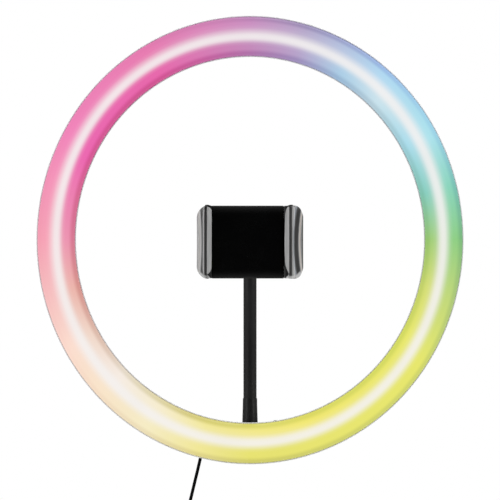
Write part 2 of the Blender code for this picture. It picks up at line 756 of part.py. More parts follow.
def pad_section(sign, lip):
    """A gel pad that wraps the jaw's arm and lip with an even gap."""
    section = [
        # outside of the pad
        (31.3, -16.2), (32.0, -16.4), (JAW_OUT, -18.0), (JAW_OUT, -32.6), (31.9, -34.2),
        (30.6, -34.9), (28.6, -34.6), (27.4, -35.0), (lip + 1.0, -35.0), (lip - 1.2, -34.2),
        # round the lip's end and along the face towards the middle
        (lip - 1.5, -30.4), (lip - 0.9, -29.3), (26.5, -29.3), (26.5, -19.7),
        # faces next to the jaw
        (27.7, -19.7), (27.7, -30.5), (lip - 0.3, -30.5), (lip, -32.7),
        (lip + 1.1, -33.3), (30.3, -33.3), (31.3, -32.3),
    ]
    return clamp_section(sign, section)


def trim(obj, group, x_min, x_max, radius, half_height):
    """Round a piece's outer corners as seen from the front."""
    outline = rounded(x_min, x_max, BALL_Z - half_height, BALL_Z + half_height, radius, 4)
    tool = prism(obj.name + "_trim", outline, "Y", BALL_Y - 40.0, BALL_Y - 5.0, group)
    boolean(obj, "INTERSECT", [tool])


def build_clamp_body():
    """Body: an open-backed box with the fixed jaw on its left."""
    block = Shape("clamp").box(
        at_ball(CLAMP_X_MIN + 0.3, BODY_FRONT, -CLAMP_HALF_H),
        at_ball(CLAMP_X_MAX, BODY_BACK, CLAMP_HALF_H),
    )
    body = block.make("clamp_body", BLACK)
    bevel(body, 0.8, 2)
    fixed_jaw = clamp_prism("fixed_jaw", jaw_section(-1, 22.0, FIXED_LIP), JAW_HALF_H, "clamp")
    trim(fixed_jaw, "clamp", -31.2, 10.0, 4.6, CLAMP_HALF_H + 0.4)
    cavity = Shape("clamp").box(at_ball(-21.7, -17.5, -19.3), at_ball(18.9, -8.0, 19.3))
    window = Shape("clamp").box(at_ball(17.0, -15.6, -13.9), at_ball(23.0, -12.8, 13.9))
    rails = Shape("clamp")
    for z in (-4.2, 4.2):
        rails.box(at_ball(-21.9, POST_FRONT, z - 0.8), at_ball(17.6, -15.6, z + 0.8))
    fuse(body, fixed_jaw)
    cut(body, cavity.make("body_cavity"), window.make("slider_window"))
    fuse(
        body,
        clamp_rods("body_posts", COVER_SCREWS, POST_FRONT, -9.4, 2.4, sides=12),
        clamp_rods("body_pegs", spring_places(-20.2), POST_FRONT, -9.9, 0.9, sides=8),
        rails.make("body_rails"),
    )
    cut(body, clamp_rods("body_pilots", COVER_SCREWS, -16.9, -8.0, 1.25, sides=8))


def build_clamp_cover():
    """Back cover with the socket for the ball's liner, and its screws."""
    outline = rounded(CLAMP_X_MIN + 0.2, CLAMP_X_MAX - 0.4, BALL_Z - 20.6, BALL_Z + 20.6, 2.2)
    depths = (BALL_Y - 9.0, BALL_Y - 7.0)
    cover = prism("clamp_back_cover", outline, "Y", *depths, "clamp", BLACK)
    bevel(cover, 0.5, 1)
    centre = [(0, BALL_Z)]
    fuse(cover, clamp_rods("socket_boss", centre, -8.0, 3.2, 11.0, sides=24))
    cut(
        cover,
        clamp_rods("socket_bore", centre, -6.2, 5.0, 8.9, sides=24),
        clamp_rods("socket_dimple", centre, -7.6, 0.0, 4.4, sides=12),
        clamp_rods("cover_screw_ways", COVER_SCREWS, -10.0, -6.0, 1.5, sides=8),
    )
    for number, (x, z) in enumerate(COVER_SCREWS, 1):
        head_at = (x, BALL_Y - 5.4, z)
        screw(f"cover_screw_{number}", head_at, 9.6, 2.1, 1.3, 0.95, "clamp")


def build_moving_jaw():
    """Moving jaw: jaw and slider plate in one piece."""
    jaw = clamp_prism("moving_jaw", jaw_section(1, 21.0, MOVING_LIP), JAW_HALF_H, "jaw", BLACK)
    trim(jaw, "jaw", -40.0, 31.2, 4.6, CLAMP_HALF_H + 0.4)
    plate = Shape("jaw").box(at_ball(-18.6, -15.3, -13.5), at_ball(23.0, -13.2, 13.5))
    stop = Shape("jaw").box(at_ball(-18.9, -15.0, -13.2), at_ball(-17.2, -11.6, 13.2))
    reliefs = Shape("jaw")
    for z in SPRING_Z:
        reliefs.box(at_ball(-21.0, -16.0, z - 2.1), at_ball(-13.6, -9.0, z + 2.1))
    fuse(
        jaw,
        plate.make("slider_plate"),
        stop.make("slider_stop"),
        clamp_rods("slider_hooks", spring_places(-12.6), -14.6, -9.9, 0.9, 8, group="jaw"),
    )
    cut(jaw, reliefs.make("spring_reliefs"))


def build_jaw_pads():
    far, near = JAW_OUT + 0.2, 12.0  # ends of the trimming outline
    for name, sign, lip, group, x_min, x_max in (
        ("fixed_jaw_pad", -1, FIXED_LIP, "clamp", -far, near),
        ("moving_jaw_pad", 1, MOVING_LIP, "jaw", -near, far),
    ):
        pad = clamp_prism(name, pad_section(sign, lip), PAD_HALF_H, group, CLEAR)
        trim(pad, group, x_min, x_max, 6.0, CLAMP_HALF_H + 0.1)


def build_clamp_springs():
    """Two tension springs that pull the slider into the body."""
    turns, per_turn = 5, 6
    coil_r, coil_length, wire_r = 1.35, 4.9, 0.3
    count = turns * per_turn
    for number, z in enumerate(SPRING_Z, 1):
        coil = []
        for k in range(count + 1):
            angle = 2 * math.pi * turns * k / count
            x = -18.9 + coil_length * k / count
            depth = -11.9 + coil_r * math.cos(angle)
            coil.append(at_ball(x, depth, z + coil_r * math.sin(angle)))
        tube(f"clamp_spring_{number}", coil, wire_r, "clamp", STEEL, resolution=0)


# ---------------------------------------------------------------- cable
CABLE_LIE = FLOOR_Z + CABLE_R  # height of the cable's centre where it lies on the floor
CABLE_BACK = 15.2  # how far behind the hole the cable turns down
PLUG_AT = Vector((-34.0, 104.0, CABLE_LIE))
PLUG_LIFT = Vector((0.0, 0.0, 3.0))  # plug's centre over the lying cable's
PLUG_YAW = math.radians(165.0)
PLUG_DIRECTION = Vector((math.cos(PLUG_YAW), math.sin(PLUG_YAW), 0.0))


def in_remote(x, y, z):
    """A point of the remote's own frame, in the object's frame."""
    cosine, sine = math.cos(REMOTE_YAW), math.sin(REMOTE_YAW)
    return Vector(REMOTE_AT) + Vector((cosine * x - sine * y, sine * x + cosine * y, z))


def build_cable_upper():
    """From inside the housing, out of its back and down."""
    offsets = [  # from the cable hole
        (0.0, -5.4, 0.0),
        (0.0, 4.0, 0.0),
        (0.0, 10.0, 0.0),
        (-0.7, 13.8, -2.4),
        (-1.9, CABLE_BACK, -7.0),
        (-3.0, CABLE_BACK, -11.6),
    ]
    path = flow([Vector(CABLE_HOLE) + Vector(offset) for offset in offsets], 4)
    tube("cable_upper", path, CABLE_R, "head", CABLE, resolution=1)


def build_cable_lower():
    """Down to the floor, backwards along it and into the remote."""
    stations = [  # x from the cable hole, y from the upper cable's drop, z over the seating face
        (-4.7, 0.0, -7.5),
        (-6.6, 0.3, -15.0),
        (-8.9, 1.2, -24.0),
        (-12.0, 3.2, -35.0),
        (-17.5, 8.0, CABLE_LIE + 3.2),
        (-26.5, 17.0, CABLE_LIE),
        (-36.0, 38.0, CABLE_LIE),
        (-32.0, 62.0, CABLE_LIE),
        (-15.0, 70.0, CABLE_LIE + 1.6),
    ]
    drop = Vector((CABLE_HOLE[0], CABLE_HOLE[1] + CABLE_BACK, 0.0))
    points = [drop + Vector(station) for station in stations]
    points += [in_remote(-50.0, -1.0, 5.2), in_remote(-42.0, 0.0, 5.5), in_remote(-34.0, 0.0, 5.5)]
    tube("cable_lower", flow(points, 3), CABLE_R, "root", CABLE, resolution=1)


def build_cable_tail():
    """Out of the remote's other end, in a loop on the floor to the plug."""
    stations = [  # in the remote's frame
        (34.0, 0.0, 5.5), (42.0, 0.0, 5.5), (50.0, 1.0, 4.6), (62.0, 8.0, 1.0),
        (66.0, 26.0, 1.0), (50.0, 40.0, 1.0), (20.0, 42.0, 1.0),
    ]
    points = [in_remote(*station) for station in stations]
    points += [
        PLUG_AT - PLUG_DIRECTION * 22.0 + 0.5 * PLUG_LIFT,
        PLUG_AT - PLUG_DIRECTION * 10.0 + PLUG_LIFT,
        PLUG_AT + PLUG_DIRECTION * 3.0 + PLUG_LIFT,
    ]
    tube("cable_tail", flow(points, 3), CABLE_R, "root", CABLE, resolution=1)


# ---------------------------------------------------------------- remote
# Given in its own frame: long in x, its underside at z = 0.
REMOTE_HALF_L, REMOTE_HALF_W, REMOTE_H = 38.0, 10.5, 11.0
REMOTE_SPLIT = 5.5  # height where the case halves meet
REMOTE_CORNER, REMOTE_WALL = 8.0, 1.8
REMOTE_SCREWS = [(-31.0, -5.6), (31.0, 5.6)]  # x, y
BUTTON_X = {
    "button_power": -22.0,
    "button_colour": -9.5,
    "button_dim": 3.0,
    "button_bright": 15.5,
}


def remote_rods(name, places, start, end, radius, sides):
    return Shape("remote").rods("Z", places, start, end, radius, sides).make(name)


def remote_outline(inset, count):
    half_l, half_w = REMOTE_HALF_L - inset, REMOTE_HALF_W - inset
    return rounded(-half_l, half_l, -half_w, half_w, REMOTE_CORNER - inset, count)


def shell_half(name, low, high, open_low, open_high):
    """Half of the remote's case: a rounded slab, hollowed, with a cable way at each end."""
    slab = prism(name, remote_outline(0.0, 4), "Z", low, high, "remote", BLACK)
    inside = remote_outline(REMOTE_WALL, 3)
    hollow = prism(name + "_hollow", inside, "Z", open_low, open_high, "remote")
    bevel(slab, 1.0, 2)
    ways = Shape("remote")
    for sign in (-1, 1):
        ways.rods("X", [(0, REMOTE_SPLIT)], sign * 45.0, sign * 33.0, CABLE_R + GAP, sides=12)
    cut(slab, hollow, ways.make(name + "_cable_ways"))
    return slab


def build_remote_case():
    """Both halves of the case, with key holes above and screw posts inside."""
    top = shell_half("remote_top", REMOTE_SPLIT + 0.15, REMOTE_H, 4.0, REMOTE_H - 1.6)
    bottom = shell_half("remote_bottom", 0.0, REMOTE_SPLIT - 0.15, 1.6, 7.0)
    keys = [(x, 0) for x in BUTTON_X.values()]
    cut(top, remote_rods("key_ways", keys, 7.0, 13.0, 3.9, sides=12))
    fuse(bottom, remote_rods("remote_posts", REMOTE_SCREWS, 0.8, 5.2, 2.3, sides=10))
    cut(bottom, remote_rods("remote_screw_ways", REMOTE_SCREWS, -1.0, 6.0, 1.15, sides=8))
    fuse(top, remote_rods("remote_top_posts", REMOTE_SCREWS, 5.75, 10.0, 2.3, sides=10))
    cut(top, remote_rods("remote_pilots", REMOTE_SCREWS, 4.0, 8.4, 1.15, sides=8))


def build_remote_board():
    """Circuit board with a switch under each button."""
    plate = Shape("remote").box((-27.5, -7.4, 3.0), (27.5, 7.4, 4.2))
    switches = Shape("remote")
    for x in BUTTON_X.values():
        switches.box((x - 2.2, -2.2, 4.0), (x + 2.2, 2.2, 5.6))
    fuse(plate.make("remote_board", GREEN_BOARD), switches.make("remote_switches"))


def build_buttons():
    """Domed keys, each with a flange inside the case and a stem over its switch."""
    profile = [
        (0.0, 12.0), (2.6, 11.95), (3.3, 11.6), (3.55, 11.0), (3.55, 8.6),
        (4.5, 8.4), (4.5, 7.6), (1.4, 7.4), (1.4, 6.5), (0.0, 6.5),
    ]
    for name, x in BUTTON_X.items():
        add_group(name, (x, 0.0, 0.0), "remote")
        turned(name, profile, (x, 0.0, 0.0), UP, name, KEYS, 10, closed=False)


def build_remote_screws():
    """Two screws close the remote from below."""
    profile = [(0.0, 7.4), (0.85, 7.0), (0.85, -0.3), (1.9, -0.3), (1.6, -0.9), (0.0, -0.9)]
    for number, (x, y) in enumerate(REMOTE_SCREWS, 1):
        name = f"remote_screw_{number}"
        turned(name, profile, (x, y, 0.0), UP, "remote", STEEL, 10, closed=False)


# ---------------------------------------------------------------- plug
def plug_box(name, low, high, mat=None):
    return Shape("plug").box(low, high).make(name, mat)


def build_plug():
    """Overmould, folded steel shell and the tongue that carries the contacts."""
    add_group("plug", PLUG_AT + PLUG_LIFT, "root", yaw=PLUG_YAW, local=True)
    mould = plug_box("plug_mould", (0.0, -7.8, -4.0), (21.0, 7.8, 4.0), CABLE)
    bevel(mould, 1.6, 2)
    cable_way = Shape("plug").rods("X", [(0, 0)], -2.0, 4.0, CABLE_R + GAP, sides=12)
    mouth = plug_box("mould_mouth", (17.0, -6.4, -2.65), (25.0, 6.4, 2.65))
    cut(mould, cable_way.make("mould_cable_way"), mouth)
    shell = plug_box("plug_shell", (17.4, -6.0, -2.25), (33.4, 6.0, 2.25), STEEL)
    cut(shell, plug_box("shell_hollow", (18.0, -5.7, -1.95), (36.0, 5.7, 1.95)))
    tongue = plug_box("plug_tongue", (18.3, -5.2, -1.6), (32.6, 5.2, 0.1), NYLON)
    bevel(tongue, 0.2, 1)


# ---------------------------------------------------------------- assembly
add_groups()

build_housing()
build_diffuser()
build_led_board()
build_housing_screws()
build_cable_grommet()

build_bracket()
build_tilt_bolt()
build_tilt_knob()
build_foot()
build_tripod_insert()
build_friction_washers()

build_neck_insert()
build_neck_base()
build_neck_links()
build_neck_end()
build_ball_stud()
build_ball_liner()
build_lock_collar()

build_clamp_body()
build_clamp_cover()
build_moving_jaw()
build_jaw_pads()
build_clamp_springs()

build_cable_upper()
build_cable_lower()
build_cable_tail()
build_remote_case()
build_remote_board()
build_buttons()
build_remote_screws()
build_plug()
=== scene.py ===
"""Looks of a ring light with a tilting foot, a gooseneck phone clamp and a wired remote.

Lengths are millimetres in the frame of the CAD model unless a comment says metres: the ring
stands in the XZ plane and shines towards -Y, and +Z is up.  "Front" is -Y and "left" is -X.
Meshes are written in metres.
"""

import json
import math
from types import SimpleNamespace

import bmesh
import bpy
import numpy as np
from mathutils import Matrix, Vector

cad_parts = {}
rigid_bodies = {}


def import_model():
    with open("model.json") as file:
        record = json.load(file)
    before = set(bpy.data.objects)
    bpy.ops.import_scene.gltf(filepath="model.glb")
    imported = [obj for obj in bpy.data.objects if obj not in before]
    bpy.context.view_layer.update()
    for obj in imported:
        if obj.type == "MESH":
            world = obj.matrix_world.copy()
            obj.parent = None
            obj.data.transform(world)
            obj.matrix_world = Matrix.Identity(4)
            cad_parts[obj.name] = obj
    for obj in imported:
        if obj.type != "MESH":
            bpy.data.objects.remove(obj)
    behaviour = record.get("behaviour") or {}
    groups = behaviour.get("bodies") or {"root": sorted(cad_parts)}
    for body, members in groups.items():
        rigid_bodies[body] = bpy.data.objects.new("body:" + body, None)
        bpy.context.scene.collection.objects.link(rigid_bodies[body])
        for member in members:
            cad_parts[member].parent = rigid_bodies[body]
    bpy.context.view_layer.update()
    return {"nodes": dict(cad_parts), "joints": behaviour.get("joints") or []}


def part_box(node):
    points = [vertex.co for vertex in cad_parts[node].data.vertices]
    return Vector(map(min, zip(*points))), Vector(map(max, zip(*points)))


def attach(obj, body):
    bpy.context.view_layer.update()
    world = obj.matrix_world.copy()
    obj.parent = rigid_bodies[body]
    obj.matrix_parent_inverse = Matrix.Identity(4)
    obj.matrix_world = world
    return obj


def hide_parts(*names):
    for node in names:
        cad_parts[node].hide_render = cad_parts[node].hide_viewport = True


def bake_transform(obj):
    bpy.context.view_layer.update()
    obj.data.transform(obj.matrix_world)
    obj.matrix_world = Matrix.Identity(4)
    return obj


for leftover in list(bpy.data.objects):
    bpy.data.objects.remove(leftover, do_unlink=True)

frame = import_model()
MM = 0.001


JOINT = {joint["name"]: joint for joint in frame["joints"]}


# ---------------------------------------------------------------- places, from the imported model
def box(node):
    low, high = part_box(node)
    return Vector(low) / MM, Vector(high) / MM


def centre(node):
    low, high = box(node)
    return (low + high) / 2


def pivot(joint):
    return Vector(JOINT[joint]["pos_m"]) / MM


RING_LOW, RING_HIGH = box("rear_housing")
RING_Z = centre("rear_housing").z
SPLIT_Y = RING_LOW.y + 1.2  # where housing and diffuser meet
RING_OUTER = (RING_HIGH.x - RING_LOW.x) / 2
RING_INNER = RING_OUTER - 24.0
RING_MIDDLE = 0.5 * (RING_OUTER + RING_INNER)
TILT = pivot("ring_tilt")
TILT_Y, TILT_Z = TILT.y, TILT.z
BALL = pivot("ball_tilt")
NECK_Y = TILT_Y - 14.2
FLOOR_Z = box("remote_bottom")[0].z
FRONT, BEHIND, UP, RIGHT = (0, -1, 0), (0, 1, 0), (0, 0, 1), (1, 0, 0)


# ---------------------------------------------------------------- outlines
def fillet(points, radius, segments=4, closed=True):
    """The outline with its corners rounded.  radius is one number or one for each point."""
    points = [np.array(point, float) for point in points]
    count = len(points)
    radii = radius if hasattr(radius, "__len__") else [radius] * count
    out = []
    for k, corner in enumerate(points):
        if radii[k] <= 0 or (not closed and k in (0, count - 1)):
            out.append(tuple(corner))
            continue
        back, ahead = points[k - 1] - corner, points[(k + 1) % count] - corner
        back_length, ahead_length = np.linalg.norm(back), np.linalg.norm(ahead)
        back, ahead = back / back_length, ahead / ahead_length
        half = math.acos(float(np.clip(back @ ahead, -0.9999, 0.9999))) / 2
        if half > math.radians(86):  # all but straight
            out.append(tuple(corner))
            continue
        reach = min(radii[k] / math.tan(half), 0.48 * back_length, 0.48 * ahead_length)
        start, stop = corner + back * reach, corner + ahead * reach
        for j in range(segments + 1):
            s = j / segments
            out.append(tuple((1 - s) ** 2 * start + 2 * s * (1 - s) * corner + s * s * stop))
    return out


def arc(x, y, radius_x, radius_y, start, stop, count):
    """count steps along an ellipse about (x, y), from start to stop in degrees."""
    angles = [math.radians(start + (stop - start) * k / count) for k in range(count + 1)]
    return [(x + radius_x * math.cos(a), y + radius_y * math.sin(a)) for a in angles]


def rounded(x0, x1, y0, y1, radius, count=8):
    """A rectangle with round corners of count steps each."""
    out = []
    for x, y, start in (
        (x1 - radius, y1 - radius, 0),
        (x0 + radius, y1 - radius, 90),
        (x0 + radius, y0 + radius, 180),
        (x1 - radius, y0 + radius, 270),
    ):
        out += arc(x, y, radius, radius, start, start + 90, count)
    return out


def inset(outline, distance):
    """The outline moved inwards."""
    points = np.array(outline, float)
    following, previous = np.roll(points, -1, 0), np.roll(points, 1, 0)
    area = 0.5 * np.sum(points[:, 0] * following[:, 1] - following[:, 0] * points[:, 1])
    sign = 1.0 if area > 0 else -1.0

    def unit(rows):
        return rows / np.maximum(np.linalg.norm(rows, axis=1, keepdims=True), 1e-9)

    def normals(edges):
        edges = unit(edges)
        return np.stack([-edges[:, 1], edges[:, 0]], 1) * sign

    before = normals(points - previous)
    normal = unit(before + normals(following - points))
    stretch = 1.0 / np.maximum(np.sum(normal * before, axis=1, keepdims=True), 0.5)
    return points + normal * stretch * distance


def clean(outline, least=1e-3):
    """The outline without points that lie on the one before."""
    out = []
    for point in outline:
        if not out or math.dist(point, out[-1]) > least:
            out.append(tuple(point))
    if math.dist(out[0], out[-1]) <= least:
        out.pop()
    return out


# ---------------------------------------------------------------- meshes
def dress(obj, material=None, smooth=38.0, weighted=False):
    """Material and smooth shading, sharp where faces meet at more than smooth degrees."""
    if material is not None:
        obj.data.materials.clear()
        obj.data.materials.append(material)
    obj.data.shade_smooth()
    obj.data.set_sharp_from_angle(angle=math.radians(smooth))
    if weighted:
        modifier = obj.modifiers.new("normals", "WEIGHTED_NORMAL")
        modifier.keep_sharp = True
        modifier.weight = 60
    return obj


def build(name, verts, faces, material=None, smooth=38.0):
    mesh = bpy.data.meshes.new(name)
    mesh.from_pydata([tuple(v) for v in np.asarray(verts, float) * MM], [], faces)
    bm = bmesh.new()
    bm.from_mesh(mesh)
    bmesh.ops.remove_doubles(bm, verts=bm.verts, dist=1e-7)
    bmesh.ops.recalc_face_normals(bm, faces=bm.faces)
    bm.to_mesh(mesh)
    bm.free()
    obj = bpy.data.objects.new(name, mesh)
    bpy.context.scene.collection.objects.link(obj)
    return dress(obj, material, smooth)


def basis(axis):
    """Two directions square to axis, turning anticlockwise about it, and the axis."""
    along = Vector(axis).normalized()
    first = Vector((0, 1, 0)) if abs(along.x) > 0.9 else Vector((1, 0, 0))
    first = (first - along * first.dot(along)).normalized()
    return np.array(first), np.array(along.cross(first)), np.array(along)


def lathe(name, profile, origin, axis, material=None, steps=96, ripple=None, smooth=38.0):
    """A profile of (radius, height) turned about an axis.  A profile that starts on the axis
    also ends on it; any other is a closed loop.  ripple(angle, radius) gives another radius."""
    first, second, along = basis(axis)
    origin = np.array(origin, float)
    angles = np.arange(steps) * 2 * math.pi / steps
    verts, rings = [], []
    for radius, height in profile:
        if radius == 0:
            rings.append([len(verts)])
            verts.append(origin + along * height)
            continue
        rings.append(range(len(verts), len(verts) + steps))
        for angle in angles:
            reach = ripple(angle, radius) if ripple else radius
            spoke = first * math.cos(angle) + second * math.sin(angle)
            verts.append(origin + spoke * reach + along * height)
    pairs = list(zip(rings, rings[1:]))
    if profile[0][0] != 0:
        pairs.append((rings[-1], rings[0]))
    faces = []
    for a, b in pairs:
        for k in range(steps):
            n = (k + 1) % steps
            if len(a) == 1:
                faces.append((a[0], b[n], b[k]))
            elif len(b) == 1:
                faces.append((a[k], a[n], b[0]))
            else:
                faces.append((a[k], a[n], b[n], b[k]))
    return build(name, verts, faces, material, smooth)


def tube_faces(rings, count):
    """Walls between rings of count vertices each, and both end caps."""
    faces = []
    for j in range(rings - 1):
        for k in range(count):
            n = (k + 1) % count
            low, high = j * count, (j + 1) * count
            faces.append((low + k, low + n, high + n, high + k))
    last = (rings - 1) * count
    return faces + [tuple(range(count - 1, -1, -1)), tuple(range(last, last + count))]


def slab(name, outline, axis, low, high, edge=0.0, material=None, segments=3, high_edge=None):
    """An outline given thickness from low to high, with rounded edges.  The outline is (y, z)
    for X, (x, z) for Y and (x, y) for Z.  high_edge is the edge radius at high, if another."""
    outline = clean(outline)
    high_edge = edge if high_edge is None else high_edge
    rings = []
    for radius, base, way in ((edge, low, 1.0), (high_edge, high, -1.0)):
        part = []
        for j in range(segments + 1 if radius > 0 else 1):
            a = math.radians(90.0 * j / segments) if radius > 0 else 0.0
            part.append((radius * (1 - math.sin(a)), base + way * radius * (1 - math.cos(a))))
        rings += part if way > 0 else part[::-1]
    place_at = {
        "X": lambda a, b, h: (h, a, b),
        "Y": lambda a, b, h: (a, h, b),
        "Z": lambda a, b, h: (a, b, h),
    }[axis]
    verts = []
    for distance, height in rings:
        for a, b in inset(outline, distance) if distance > 1e-9 else outline:
            verts.append(place_at(a, b, height))
    return build(name, verts, tube_faces(len(rings), len(outline)), material)


def sweep(name, points, radius, material, sides=20):
    """A round tube along points; radius is a number, or one for each point."""
    points = np.array([tuple(p) for p in points], float)
    radii = np.broadcast_to(np.asarray(radius, float), len(points))
    tangents = np.gradient(points, axis=0)
    tangents /= np.linalg.norm(tangents, axis=1, keepdims=True)
    side = np.cross(tangents[0], (0.3, 0.5, 0.81))
    side /= np.linalg.norm(side)
    verts = []
    for point, tangent, reach in zip(points, tangents, radii):
        side = side - tangent * (side @ tangent)
        side /= np.linalg.norm(side)
        other = np.cross(tangent, side)
        for j in range(sides):
            a = 2 * math.pi * j / sides
            verts.append(point + reach * (side * math.cos(a) + other * math.sin(a)))
    return build(name, verts, tube_faces(len(points), sides), material, 60.0)


def rod(start, stop, radius, stop_radius=None, sides=32):
    """A plain cylinder or cone, for carving with."""
    start, stop = Vector(start), Vector(stop)
    first, second, _ = basis(stop - start)
    stop_radius = radius if stop_radius is None else stop_radius
    verts = []
    for point, reach in ((start, radius), (stop, stop_radius)):
        for k in range(sides):
            a = 2 * math.pi * k / sides
            verts.append(np.array(point) + reach * (first * math.cos(a) + second * math.sin(a)))
    return build("tool", verts, tube_faces(2, sides))


def brick(low, high, edge=0.0):
    """A box with its bottom and top edges rounded, for carving with."""
    outline = [(low[0], low[1]), (high[0], low[1]), (high[0], high[1]), (low[0], high[1])]
    return slab("tool", outline, "Z", low[2], high[2], edge, segments=2)


def carve(obj, *tools, how="DIFFERENCE", smooth=38.0, weighted=True):
    """Joins the tools to the object, or cuts them out of it, and removes them."""
    materials = list(obj.data.materials)
    for number, tool in enumerate(tools):
        modifier = obj.modifiers.new(f"carve_{number}", "BOOLEAN")
        modifier.operation = how
        modifier.solver = "EXACT"
        modifier.object = tool
    bpy.context.view_layer.update()
    graph = bpy.context.evaluated_depsgraph_get()
    mesh = bpy.data.meshes.new_from_object(obj.evaluated_get(graph))
    obj.modifiers.clear()
    obj.data = mesh
    for tool in tools:
        bpy.data.objects.remove(tool, do_unlink=True)
    obj.data.materials.clear()
    for material in materials:
        obj.data.materials.append(material)
    for face in obj.data.polygons:
        face.material_index = 0
    return dress(obj, None, smooth, weighted)


def fuse(obj, *tools, **options):
    return carve(obj, *tools, how="UNION", **options)


def flow(points, per_leg=12):
    """A smooth (Catmull-Rom) line through the points."""
    points = [Vector(p) for p in points]
    points = [2 * points[0] - points[1]] + points + [2 * points[-1] - points[-2]]
    out = []
    for a, b, c, d in zip(points, points[1:], points[2:], points[3:]):
        for k in range(per_leg):
            t = k / per_leg
            square = (2 * a - 5 * b + 4 * c - d) * t**2
            cube = (3 * b - a - 3 * c + d) * t**3
            out.append(0.5 * (2 * b + (c - a) * t + square + cube))
    return out + [points[-2]]


def turn_in(obj, origin, yaw):
    """Puts a mesh drawn in its own frame at its place."""
    obj.data.transform(Matrix.Translation(Vector(origin) * MM) @ Matrix.Rotation(yaw, 4, "Z"))
    return obj


def place(obj, body, slot, node=None):
    """Puts the piece on its body and hides the CAD node it replaces.  slot is not used."""
    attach(obj, body)
    if node:
        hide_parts(node)


# ---------------------------------------------------------------- node building
class Nodes:
    """Adds nodes to a tree."""

    def __init__(self, tree):
        self.tree = tree

    def node(self, kind, **settings):
        made = self.tree.nodes.new(kind)
        for key, value in settings.items():
            setattr(made, key, value)
        return made

    def feed(self, socket, value):
        """Links an output to the socket, or sets its number or RGB colour."""
        if hasattr(value, "is_output"):
            self.tree.links.new(value, socket)
        else:
            socket.default_value = (*value, 1.0) if hasattr(value, "__len__") else value

    def remap(self, value, span, to=(0.0, 1.0), kind="LINEAR"):
        """The value's span stretched onto another, and clamped."""
        made = self.node("ShaderNodeMapRange", interpolation_type=kind, clamp=True)
        names = ("Value", "From Min", "From Max", "To Min", "To Max")
        for name, item in zip(names, (value, *span, *to)):
            self.feed(made.inputs[name], item)
        return made.outputs["Result"]

    def part(self, vector, letter):
        made = self.node("ShaderNodeSeparateXYZ")
        self.feed(made.inputs[0], vector)
        return made.outputs[letter]

    def ramp(self, value, stops, kind="LINEAR"):
        """Stops are (position, grey level or RGB)."""
        made = self.node("ShaderNodeValToRGB")
        made.color_ramp.interpolation = kind
        elements = made.color_ramp.elements
        while len(elements) > 1:
            elements.remove(elements[-1])
        for k, (position, colour) in enumerate(stops):
            item = elements[0] if k == 0 else elements.new(position)
            item.position = position
            if not hasattr(colour, "__len__"):
                colour = (colour,) * 3
            item.color = (*colour, 1.0)
        self.feed(made.inputs[0], value)
        return made.outputs["Color"]


class Finish(Nodes):
    """A material built up step by step, in the piece's own coordinates, in metres."""

    def __init__(self, name, roughness, metallic=0.0, ior=1.5, specular=0.5):
        self.material = bpy.data.materials.new(name)
        self.material.use_nodes = True
        super().__init__(self.material.node_tree)
        self.shader = self.tree.nodes["Principled BSDF"]
        self.put("Roughness", roughness)
        self.put("Metallic", metallic)
        self.put("IOR", ior)
        self.put("Specular IOR Level", specular)
        self.place = self.node("ShaderNodeTexCoord").outputs["Object"]

    def put(self, name, value):
        self.feed(self.shader.inputs[name], value)

    def axis(self, letter):
        return self.part(self.place, letter)

    def calc(self, operation, a, b=0.0, c=0.0):
        made = self.node("ShaderNodeMath", operation=operation)
        for socket, value in zip(made.inputs, (a, b, c)):
            self.feed(socket, value)
        return made.outputs[0]

    def noise(self, scale, detail=3.0, roughness=0.5, stretch=None):
        vector = self.place
        if stretch:
            mapping = self.node("ShaderNodeMapping")
            mapping.inputs["Scale"].default_value = stretch
            self.feed(mapping.inputs["Vector"], vector)
            vector = mapping.outputs[0]
        made = self.node("ShaderNodeTexNoise")
        self.feed(made.inputs["Vector"], vector)
        made.inputs["Scale"].default_value = scale
        made.inputs["Detail"].default_value = detail
        made.inputs["Roughness"].default_value = roughness
        return made.outputs["Fac"]

    def mix(self, factor, a, b, kind="MIX"):
        made = self.node("ShaderNodeMix", data_type="RGBA", blend_type=kind)
        made.clamp_factor = True
        for socket, value in ((0, factor), (6, a), (7, b)):
            self.feed(made.inputs[socket], value)
        return made.outputs[2]

    def bump(self, height, depth, strength, edges=None):
        """depth is in metres.  edges rounds sharp corners by that many metres."""
        made = self.node("ShaderNodeBump")
        made.inputs["Strength"].default_value = strength
        made.inputs["Distance"].default_value = depth
        self.feed(made.inputs["Height"], height)
        if edges:
            bevel = self.node("ShaderNodeBevel", samples=4)
            bevel.inputs["Radius"].default_value = edges
            self.feed(made.inputs["Normal"], bevel.outputs[0])
        self.put("Normal", made.outputs[0])

    def grain(self, scale, depth, strength, detail=3.0, roughness=0.7, edges=None):
        self.bump(self.noise(scale, detail, roughness), depth, strength, edges)

    def drifting_gloss(self, low, high, scale=140.0):
        drift = self.noise(scale, detail=4.0, roughness=0.6)
        self.put("Roughness", self.remap(drift, span=(0.3, 0.7), to=(low, high)))

    def tones(self, base, spread, scale=60.0, detail=3.0):
        """The base colour, drifting a little lighter and darker."""
        low = tuple(c * (1 - spread) for c in base)
        high = tuple(c * (1 + spread) for c in base)
        return self.ramp(self.noise(scale, detail), [(0.30, low), (0.70, high)])

    def worn(self, colour, lighter):
        """The colour, a little lighter where the surface turns outwards sharply."""
        pointiness = self.node("ShaderNodeNewGeometry").outputs["Pointiness"]
        edge = self.remap(pointiness, span=(0.52, 0.62), to=(0.0, 0.35))
        specks = self.noise(scale=900.0, detail=4.0, roughness=0.65)
        speck = self.remap(specks, span=(0.42, 0.62))
        return self.mix(self.calc("MULTIPLY", edge, speck), colour, lighter)


